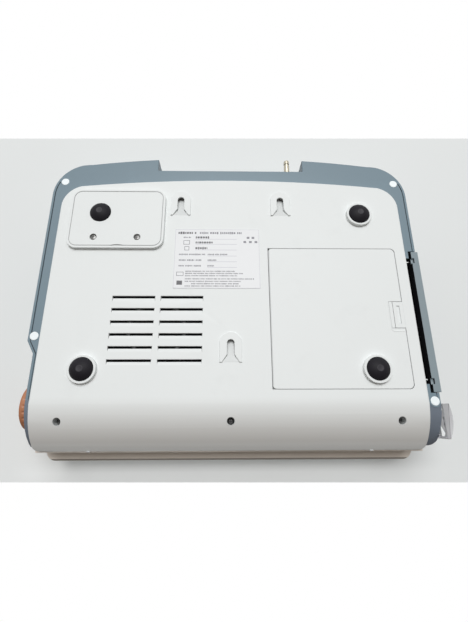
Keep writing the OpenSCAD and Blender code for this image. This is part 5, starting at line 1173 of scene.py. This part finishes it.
class MONITOR_OT_battery_bay(MonitorOperator, bpy.types.Operator):
    """Battery door, its latch and the battery"""
    bl_idname = "monitor.battery_bay"
    bl_label = "Battery bay"

    def execute(self, context):
        plane = pan_plane()
        low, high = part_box("battery_latch")
        self.door(low, high, plane)
        self.latch(low, high, plane)
        end = self.strip(low, high, plane)
        self.bead(low, high, end)
        dressed("battery_pack", ["black"], 1.2 * MM, 3)
        return DONE

    def door(self, low, high, plane):
        first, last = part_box("battery_door")
        tongue, pins, pocket = low.x + 0.6 * MM, 3.7 * MM, 4 * MM
        flat = (low.x, first.y + pins), (last.x, last.y - pins)

        # Painted shade: near-black and grey walls along the door's edges
        def paint(p, n):
            edge = p.x < tongue or not within(p, *flat)
            if within(p, low, high, pocket) or p.z < plane + 0.02 * MM or not edge:
                return "white"
            return "crevice" if p.x < tongue or abs(n.z) < UPRIGHT else "crease"

        dressed("battery_door", ["white", "crevice", "crease"], 0.3 * MM, paint=paint)

    def latch(self, low, high, plane):
        slack, inset = 0.06 * MM, 0.2 * MM

        def ease(bm):
            for v in bm.verts:
                if v.co.x > high.x - 0.01 * MM:
                    v.co.x -= slack

        # Painted shade: grey on the latch's rear and side walls
        def paint(p, n):
            rear, side = n.x > 0.6 and p.x > high.x - 1 * MM, abs(n.y) > 0.6
            return "crease" if p.z < plane + 2 * MM and (rear or side) else "white"

        dressed("battery_latch", ["white", "crease"], 0.3 * MM, 2, ease, paint)
        edge = bmesh.new()
        box_into(edge, (low.x - 0.28 * MM, low.y + inset, plane + 0.02 * MM),
                 (low.x + 0.3 * MM, high.y - inset, plane + 0.8 * MM))
        piece("latch_edge", edge, ["white"], "battery_latch")

    def strip(self, low, high, plane):
        """Strip behind the latch, with softened edges; returns its far end."""
        travel, gap, over, foot, top = 3 * MM, 0.2 * MM, 0.1 * MM, 0.1 * MM, 2.6 * MM
        end = Vector((high.x + travel + gap, middle(low.y, high.y), plane))
        bm = bmesh.new()
        box_into(bm, (high.x + gap, low.y - over, plane + foot), (end.x, high.y + over, plane + top))
        soften(bm, 0.15 * MM)
        strip = piece("latch_strip", bm, ["white"], "battery_door")
        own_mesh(strip)
        return end

    def bead(self, low, high, end):
        s = sizes()
        out, below, r = end.x + 0.9 * MM, low.y - 3.2 * MM, 3.4 * MM
        path = [(out, high.y - 0.5 * MM)]
        for a in map(math.radians, range(0, -91, -15)):
            path.append((out - r + r * math.cos(a), below + r + r * math.sin(a)))
        path.append((low.x + 1.2 * MM, below))
        bm = bmesh.new()
        bead_into(bm, path, end.z, s.bead_w / 2, s.bead_h)
        piece("latch_bead", bm, ["white"], "battery_door")


class MONITOR_OT_printer(MonitorOperator, bpy.types.Operator):
    """Printer door and the printer behind it"""
    bl_idname = "monitor.printer"
    bl_label = "Printer"

    def execute(self, context):
        # Painted shade: the door's inner face, which looks into the dark bay, is painted black
        def paint(p, n):
            inner = n.x > 0.9
            return "black" if inner else "door_grey"

        dressed("printer_door", ["door_grey", "black"], 0.4 * MM, paint=paint)
        dress_plain({
            "printer_door_liner": ("black", 0.3), "door_clips": ("white", 0.25),
            "printer_bay": ("black", 0.3), "paper_roll": ("paper", 0.3), "paper_spindle": ("black", 0.4),
            "print_head": ("shield", 0.4), "platen_roller": ("rubber", 0.15), "feed_motor": ("shield", 0.5),
            "motor_pinion": ("steel", 0.1)})
        return DONE


class MONITOR_OT_door_button(MonitorOperator, bpy.types.Operator):
    """Milky button that opens the printer door, and its guide"""
    bl_idname = "monitor.door_button"
    bl_label = "Door button"

    def execute(self, context):
        low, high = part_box("door_button")
        self.button(low, high)
        dress_plain({"door_button_stem": ("clear", 0.3)})
        self.guide(low, high)
        return DONE

    def button(self, low, high):
        s = sizes()
        inner, crown = high.x - 1 * MM, low.z + 1 * MM
        behind = Vector((low.x + 1.9 * MM, high.y, 0))
        ahead = Vector((low.x + 5.4 * MM, low.y, 0))
        inward = (behind - ahead).cross(Vector((0, 0, 1))).normalized()

        def edge(p):
            return p.x < inner and not low.z + NEAR <= p.z <= high.z - NEAR

        def first(bm):
            for shift in (0, s.button_shade_line):
                cut(bm, behind + inward * shift, inward, TINY)
            soften(bm, s.button_edge, 4, edge)

        # Painted highlight on the rim and the outer faces, and a painted shade line along the crown
        def paint(p, n):
            away = (p - behind).dot(inward)
            under, outer = n.z < -0.6 and p.z < crown, n.x < -0.25
            if under:
                return "clear_rim" if away < 0 else "clear_line" if away < s.button_shade_line else "clear"
            return "clear_rim" if outer else "clear"

        dressed("door_button", ["clear", "clear_rim", "clear_line"], 0.4 * MM, 3, first, paint)

    def guide(self, low, high):
        inside, side = high.x + 0.2 * MM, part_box("skirt_frame")[0].x + 0.1 * MM
        front, rear, turn = low.y + 2.4 * MM, high.y - 2.4 * MM, low.y + 12 * MM
        bend, tip = (inside, front + 2.4 * MM), (inside + 1.1 * MM, front)
        top, rib = low.z + 5 * MM, 1.8 * MM
        bm = bmesh.new()
        prism_into(bm, [bend, (side, turn), (side, rear), (inside, rear)], low.z + 2.2 * MM, top)
        prism_into(bm, [bend, tip, (side, front), (side, turn)], low.z + 2.5 * MM, top, 1)
        # The second rib is a painted shade line
        for y, index in ((rear - 2 * rib, 1), (rear - rib, 2)):
            box_into(bm, (inside, y, low.z + 1.9 * MM), (side, y + rib, low.z + 2.3 * MM), index)
        piece("button_guide", bm, ["clear", "white", "clear_line"], "base")


class MONITOR_OT_knob(MonitorOperator, bpy.types.Operator):
    """Fluted control knob"""
    bl_idname = "monitor.knob"
    bl_label = "Control knob"

    def execute(self, context):
        s = sizes()
        low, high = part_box("jog_knob")
        centre, r = middle(low, high), (high.z - low.z) / 2
        back, face, shaft, dish = high.x - 19.4 * MM, high.x, 3 * MM, r - 5 * MM
        start, stop, fade, rings = back + 2.5 * MM, face - 3.2 * MM, 1.2 * MM, 18
        corner, corner_steps = 2.4 * MM, 5

        def flute(angle, x):
            if not start < x < stop:
                return 1.0
            ease = min(1.0, (x - start) / fade, (stop - x) / fade)
            wave = max(0.0, math.cos(s.flutes * angle)) ** 1.5
            return 1.0 - s.flute_d / r * wave * ease

        profile = [(0, low.x), *stepped(shaft, low.x, (-0.3, 0), (0, 0.3)), (shaft, back)]
        profile += stepped(r, back, (-1.0, 0), (-0.3, 0.3), (0, 1.0))
        profile += [(r, start + (stop - start) * k / rings) for k in range(rings + 1)]
        for k in range(1, corner_steps + 1):
            a = math.pi / 2 * k / corner_steps
            profile.append((r - corner * (1 - math.cos(a)), face - corner * (1 - math.sin(a))))
        profile += stepped(dish, face, (0.5, 0), (0.1, -0.15), (-0.6, -1.1), (-1.4, -1.2))
        profile += [(dish * 0.5, face - 1.05 * MM), (0, face - 1.0 * MM)]
        bm = lathe(bmesh.new(), profile, (0, centre.y, centre.z), steps=240, axis="X", shape=flute)
        stand_in("jog_knob", "jog_knob_skin", outward(bm), ["orange"], smooth=40)
        painted("black", "encoder")
        return DONE


class MONITOR_OT_side_sockets(MonitorOperator, bpy.types.Operator):
    """Socket panel and probe sockets on the right side"""
    bl_idname = "monitor.side_sockets"
    bl_label = "Side sockets"

    def execute(self, context):
        s = sizes()
        dress_plain({"socket_panel": ("grey", 0.4), "probe_sockets": ("socket", 0.4)})
        r, deep, proud = 4.9 * MM, 3.6 * MM, 1.6 * MM
        spots = []
        bm = bmesh.new()
        for low, high in islands("probe_sockets"):
            floor, (_, y, z) = low.x + deep, middle(low, high)
            disc = stepped(r, floor, (0, -0.55), (0, 0), (-0.5, 0.4))
            lathe(bm, [(0, disc[0][1]), *disc, (0, disc[-1][1])], (0, y, z), steps=40, axis="X")
            spots.append((floor + proud, y, z))
        piece("socket_floors", outward(bm), ["black"], "base")
        grown("socket_contacts", contact_tree, spots, {
            "Count": s.contacts, "Ring radius": s.contact_ring, "Radius": s.contact_r,
            "Length": s.contact_l, "Material": material("nickel")}, "base")
        return DONE


class MONITOR_OT_rear_connectors(MonitorOperator, bpy.types.Operator):
    """Rear panel with its mains, network, fuse and earth fittings"""
    bl_idname = "monitor.rear_connectors"
    bl_label = "Rear connectors"

    def execute(self, context):
        dress_plain({
            "rear_panel": ("grey", 0.4), "ac_inlet": ("black", 0.4), "ac_inlet_pins": ("nickel", 0.35),
            "fuse_holders": ("black", 0.3), "switch_frame": ("black", 0.4), "power_switch": ("green", 0.3),
            "network_socket": ("shield", 0.25)})
        self.post()
        return DONE

    def post(self):
        thread = sizes().thread
        low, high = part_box("equipotential_post")
        inner, outer = (corner.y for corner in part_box("rear_panel"))
        x, _, z = middle(low, high)
        r, nut_r, nut_l = 3 * MM, 4.55 * MM, 2.5 * MM
        profile = [(0, low.y), (r - 0.5 * MM, low.y)]
        y = low.y + 0.3 * MM
        while y < inner - 0.6 * MM:
            profile += [(r, y), (r - 0.35 * MM, y + thread / 2)]
            y += thread
        profile.append((r, inner - 0.3 * MM))
        profile += stepped(r, high.y, (0, -7.2), (-0.1, -7.0), (-0.6, -6.7), (-0.6, -4.9), (-0.1, -4.6),
                           (0, -4.4), (0, -1.2), (-0.3, -0.5), (-0.9, -0.05), (-1.4, 0))
        bm = lathe(bmesh.new(), [*profile, (0, high.y)], (x, 0, z), steps=48, axis="Y")
        for start in (outer, inner - nut_l):
            nut = stepped(nut_r, start, (-0.5, 0), (0, 0.35), (0, 2.15), (-0.5, 2.5))
            lathe(bm, [(r, start), *nut, (r, start + nut_l)], (x, 0, z), steps=6, axis="Y")
        stand_in("equipotential_post", "equipotential_post_skin", outward(bm), ["nickel"], smooth=25)


class MONITOR_OT_screen(MonitorOperator, bpy.types.Operator):
    """Folding screen with its hinges"""
    bl_idname = "monitor.screen"
    bl_label = "Screen"

    def execute(self, context):
        s = sizes()
        low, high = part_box("screen_back")
        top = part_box("screen_bezel")[1].z

        def border(z, side, end):
            """Edges at a height, so close to the screen's sides and ends."""
            def pick(p):
                close = abs(p.x) > high.x - side or min(p.y - low.y, high.y - p.y) < end
                return abs(p.z - z) < NEAR and close

            return pick

        back = rounded(s.screen_edge, 4, border(low.z, 9 * MM, 9 * MM))
        face = rounded(s.bezel_edge, 3, border(top, 5 * MM, 2.5 * MM))
        dressed("screen_back", ["white"], 0.4 * MM, 2, back)
        dressed("screen_bezel", ["white"], 0.35 * MM, 2, face)
        dress_plain({
            "screen_glass": ("glass", 0.25), "alarm_lamp": ("amber", 0.3),
            "screen_hinge_arms": ("shield", 0.4), "screen_hinge_brackets": ("shield", 0.4)})
        painted("black", "lcd_panel")
        return DONE


class MONITOR_OT_keys(MonitorOperator, bpy.types.Operator):
    """Row of keys on the deck"""
    bl_idname = "monitor.keys"
    bl_label = "Keys"

    def execute(self, context):
        for letter in "abcdef":
            node = "key_" + letter
            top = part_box(node)[1].z
            first = rounded(sizes().key_edge, 3, lambda p: abs(p.z - top) < NEAR)
            dressed(node, ["key"], 0.2 * MM, 2, first)
        painted("board", "key_board")
        return DONE


class MONITOR_OT_electronics(MonitorOperator, bpy.types.Operator):
    """Boards and the loudspeaker inside the housing"""
    bl_idname = "monitor.electronics"
    bl_label = "Electronics"

    def execute(self, context):
        painted("board", "main_board", "power_supply")
        painted("shield", "measuring_module")
        painted("steel", "board_standoffs")
        dress_plain({"speaker": ("black", 0.5)})
        return DONE


class MONITOR_OT_stage(MonitorOperator, bpy.types.Operator):
    """Table, floor, lamps, room light and camera"""
    bl_idname = "monitor.stage"
    bl_label = "Stage"

    def execute(self, context):
        s = context.scene.monitor_stage
        context.scene.view_settings.view_transform = "Standard"
        self.plane(s, "table", s.table_z, -1, self.table_fade)
        self.plane(s, "floor", FLOOR_Z, 1, self.floor_fade)
        self.lamp(s, "rear_lamp", (0.0, math.sin(s.lamp_tilt), -math.cos(s.lamp_tilt)))
        self.lamp(s, "deck_lamp", s.deck_lamp)
        self.room(context, s)
        self.camera(context, s)
        return DONE

    def table_fade(self, s, tree, where, shader):
        """White beyond two straight lines, and painted light in front of the lip, where the table glows to
        thin the lip's shadow.
        """
        x, y, _ = apart(tree, where)
        rear = math_node(tree, "MULTIPLY_ADD", x, s.slant_rear, y)
        front = math_node(tree, "MULTIPLY_ADD", x, s.slant_front, y)
        glow = s.lift
        side = math_node(tree, "ABSOLUTE", x)
        for value, ends in ((y, s.painted_light_reach), (side, s.painted_light_sides), (y, s.painted_light_end)):
            glow = math_node(tree, "MULTIPLY", ramp(tree, value, *ends), glow)
        put(tree, shader.inputs["Emission Strength"], glow)
        shader.inputs["Emission Color"].default_value = (1.0, 1.0, 1.0, 1.0)
        return math_node(tree, "MAXIMUM", ramp(tree, rear, *s.fade_rear), ramp(tree, front, *s.fade_front))

    def floor_fade(self, s, tree, where, shader):
        """White away from the middle."""
        away = add_node(tree, "ShaderNodeVectorMath", {0: where}, operation="LENGTH").outputs["Value"]
        return ramp(tree, away, *s.fade_floor)

    def plane(self, s, name, z, facing, fade):
        """A wide plane that shows from one side only and fades to white."""
        half, cloud_scale, dim, bright = 6.0, 6.0, 0.985, 1.01
        made, tree, shader = start_material(name + "_surface")
        where = object_place(tree)
        cloud = add_node(tree, "ShaderNodeTexNoise", {"Vector": where, "Scale": cloud_scale}).outputs["Fac"]
        tone = mix_colour(tree, "MIX", cloud, scaled(s.table, dim), scaled(s.table, bright))
        put(tree, shader.inputs["Base Color"], tone)
        shader.inputs["Roughness"].default_value = 0.9
        shader.inputs["Specular IOR Level"].default_value = 0.0
        white = add_node(tree, "ShaderNodeEmission").outputs[0]
        surface = mix_shader(tree, fade(s, tree, where, shader), shader.outputs[0], white)
        back = add_node(tree, "ShaderNodeNewGeometry").outputs["Backfacing"]
        clear = add_node(tree, "ShaderNodeBsdfTransparent").outputs[0]
        out = next(n for n in tree.nodes if n.type == "OUTPUT_MATERIAL")
        put(tree, out.inputs[0], mix_shader(tree, back, surface, clear))
        mesh = bpy.data.meshes.new(name)
        corners = [(-half, -half, z), (half, -half, z), (half, half, z), (-half, half, z)]
        mesh.from_pydata(corners[::facing], [], [(0, 1, 2, 3)])
        mesh.materials.append(made)
        ob = add_object(name, mesh)
        for way in ("diffuse", "glossy", "transmission", "volume_scatter", "shadow"):
            setattr(ob, "visible_" + way, False)

    def lamp(self, s, name, direction):
        data = bpy.data.lights.new(name, "AREA")
        data.shape = "DISK"
        data.size = s.lamp_size
        data.energy = s.lamp
        ob = add_object(name, data)
        away = Vector(direction).normalized()
        ob.location = Vector((0, 0, s.lamp_aim)) + away * s.lamp_away
        ob.rotation_mode = "QUATERNION"
        ob.rotation_quaternion = away.to_track_quat("Z", "Y")

    def room(self, context, s):
        """Light from all round, bright at the rear, and a plain backdrop for the camera."""
        bright_from, dim_to = 0.5, -0.7
        world = bpy.data.worlds.new("room")
        context.scene.world = world
        world.use_nodes = True
        tree = world.node_tree
        tree.nodes.clear()
        ray = add_node(tree, "ShaderNodeLightPath").outputs
        y = apart(tree, add_node(tree, "ShaderNodeTexCoord").outputs["Generated"])["Y"]
        glow = mix_colour(tree, "MIX", ramp(tree, y, bright_from, dim_to), s.rear_glow, s.front_glow)
        power = math_node(tree, "MULTIPLY_ADD", ray["Is Glossy Ray"], s.gloss, s.sky)
        light = add_node(tree, "ShaderNodeBackground", {"Color": glow, "Strength": power}).outputs[0]
        backdrop = add_node(tree, "ShaderNodeBackground", {"Color": s.backdrop}).outputs[0]
        seen = math_node(tree, "MAXIMUM", ray["Is Camera Ray"], ray["Is Transmission Ray"])
        add_node(tree, "ShaderNodeOutputWorld", {0: mix_shader(tree, seen, light, backdrop)})

    def camera(self, context, s):
        data = bpy.data.cameras.new("camera")
        data.lens = s.lens
        data.sensor_width = 36.0
        data.clip_start, data.clip_end = 0.01, 50.0
        ob = add_object("camera", data)
        forward = Vector((0, math.cos(s.pitch), math.sin(s.pitch)))
        right = Vector((-1, 0, 0))
        up = right.cross(forward)
        turn = Matrix.Rotation(s.yaw, 3, "Z")
        forward, right, up = turn @ forward, turn @ right, turn @ up
        c, q = math.cos(s.roll), math.sin(s.roll)
        right, up = right * c + up * q, up * c - right * q
        axes = Matrix((right, up, -forward)).transposed()
        ob.matrix_world = Matrix.Translation(s.eye) @ axes.to_4x4()
        context.scene.camera = ob


PIECES = (
    MONITOR_OT_bottom_pan, MONITOR_OT_skirt, MONITOR_OT_top_housing, MONITOR_OT_service_cover,
    MONITOR_OT_feet, MONITOR_OT_fasteners, MONITOR_OT_label, MONITOR_OT_battery_bay, MONITOR_OT_printer,
    MONITOR_OT_door_button, MONITOR_OT_knob, MONITOR_OT_side_sockets, MONITOR_OT_rear_connectors,
    MONITOR_OT_screen, MONITOR_OT_keys, MONITOR_OT_electronics, MONITOR_OT_stage)


class MONITOR_PT_pieces(bpy.types.Panel):
    """Pieces of the monitor, its finishes and its sizes"""
    bl_idname = "MONITOR_PT_pieces"
    bl_label = "Patient monitor"
    bl_space_type = "VIEW_3D"
    bl_region_type = "UI"
    bl_category = "Monitor"

    def draw(self, context):
        for operator in PIECES:
            self.layout.operator(operator.bl_idname)
        for label in SETTINGS:
            settings = getattr(context.scene, label)
            box = self.layout.box()
            for name in settings.__annotations__:
                box.prop(settings, name)


SETTINGS = {"monitor_finish": MonitorFinish, "monitor_sizes": MonitorSizes, "monitor_stage": MonitorStage}
CLASSES = (*SETTINGS.values(), *PIECES, MONITOR_PT_pieces)


def register():
    for cls in CLASSES:
        bpy.utils.register_class(cls)
    for label, cls in SETTINGS.items():
        setattr(bpy.types.Scene, label, bpy.props.PointerProperty(type=cls))


def unregister():
    for label in SETTINGS:
        delattr(bpy.types.Scene, label)
    for cls in reversed(CLASSES):
        bpy.utils.unregister_class(cls)


def main():
    register()
    for operator in PIECES:
        getattr(bpy.ops.monitor, operator.bl_idname.split(".")[1])()


if __name__ == "__main__":
    main()
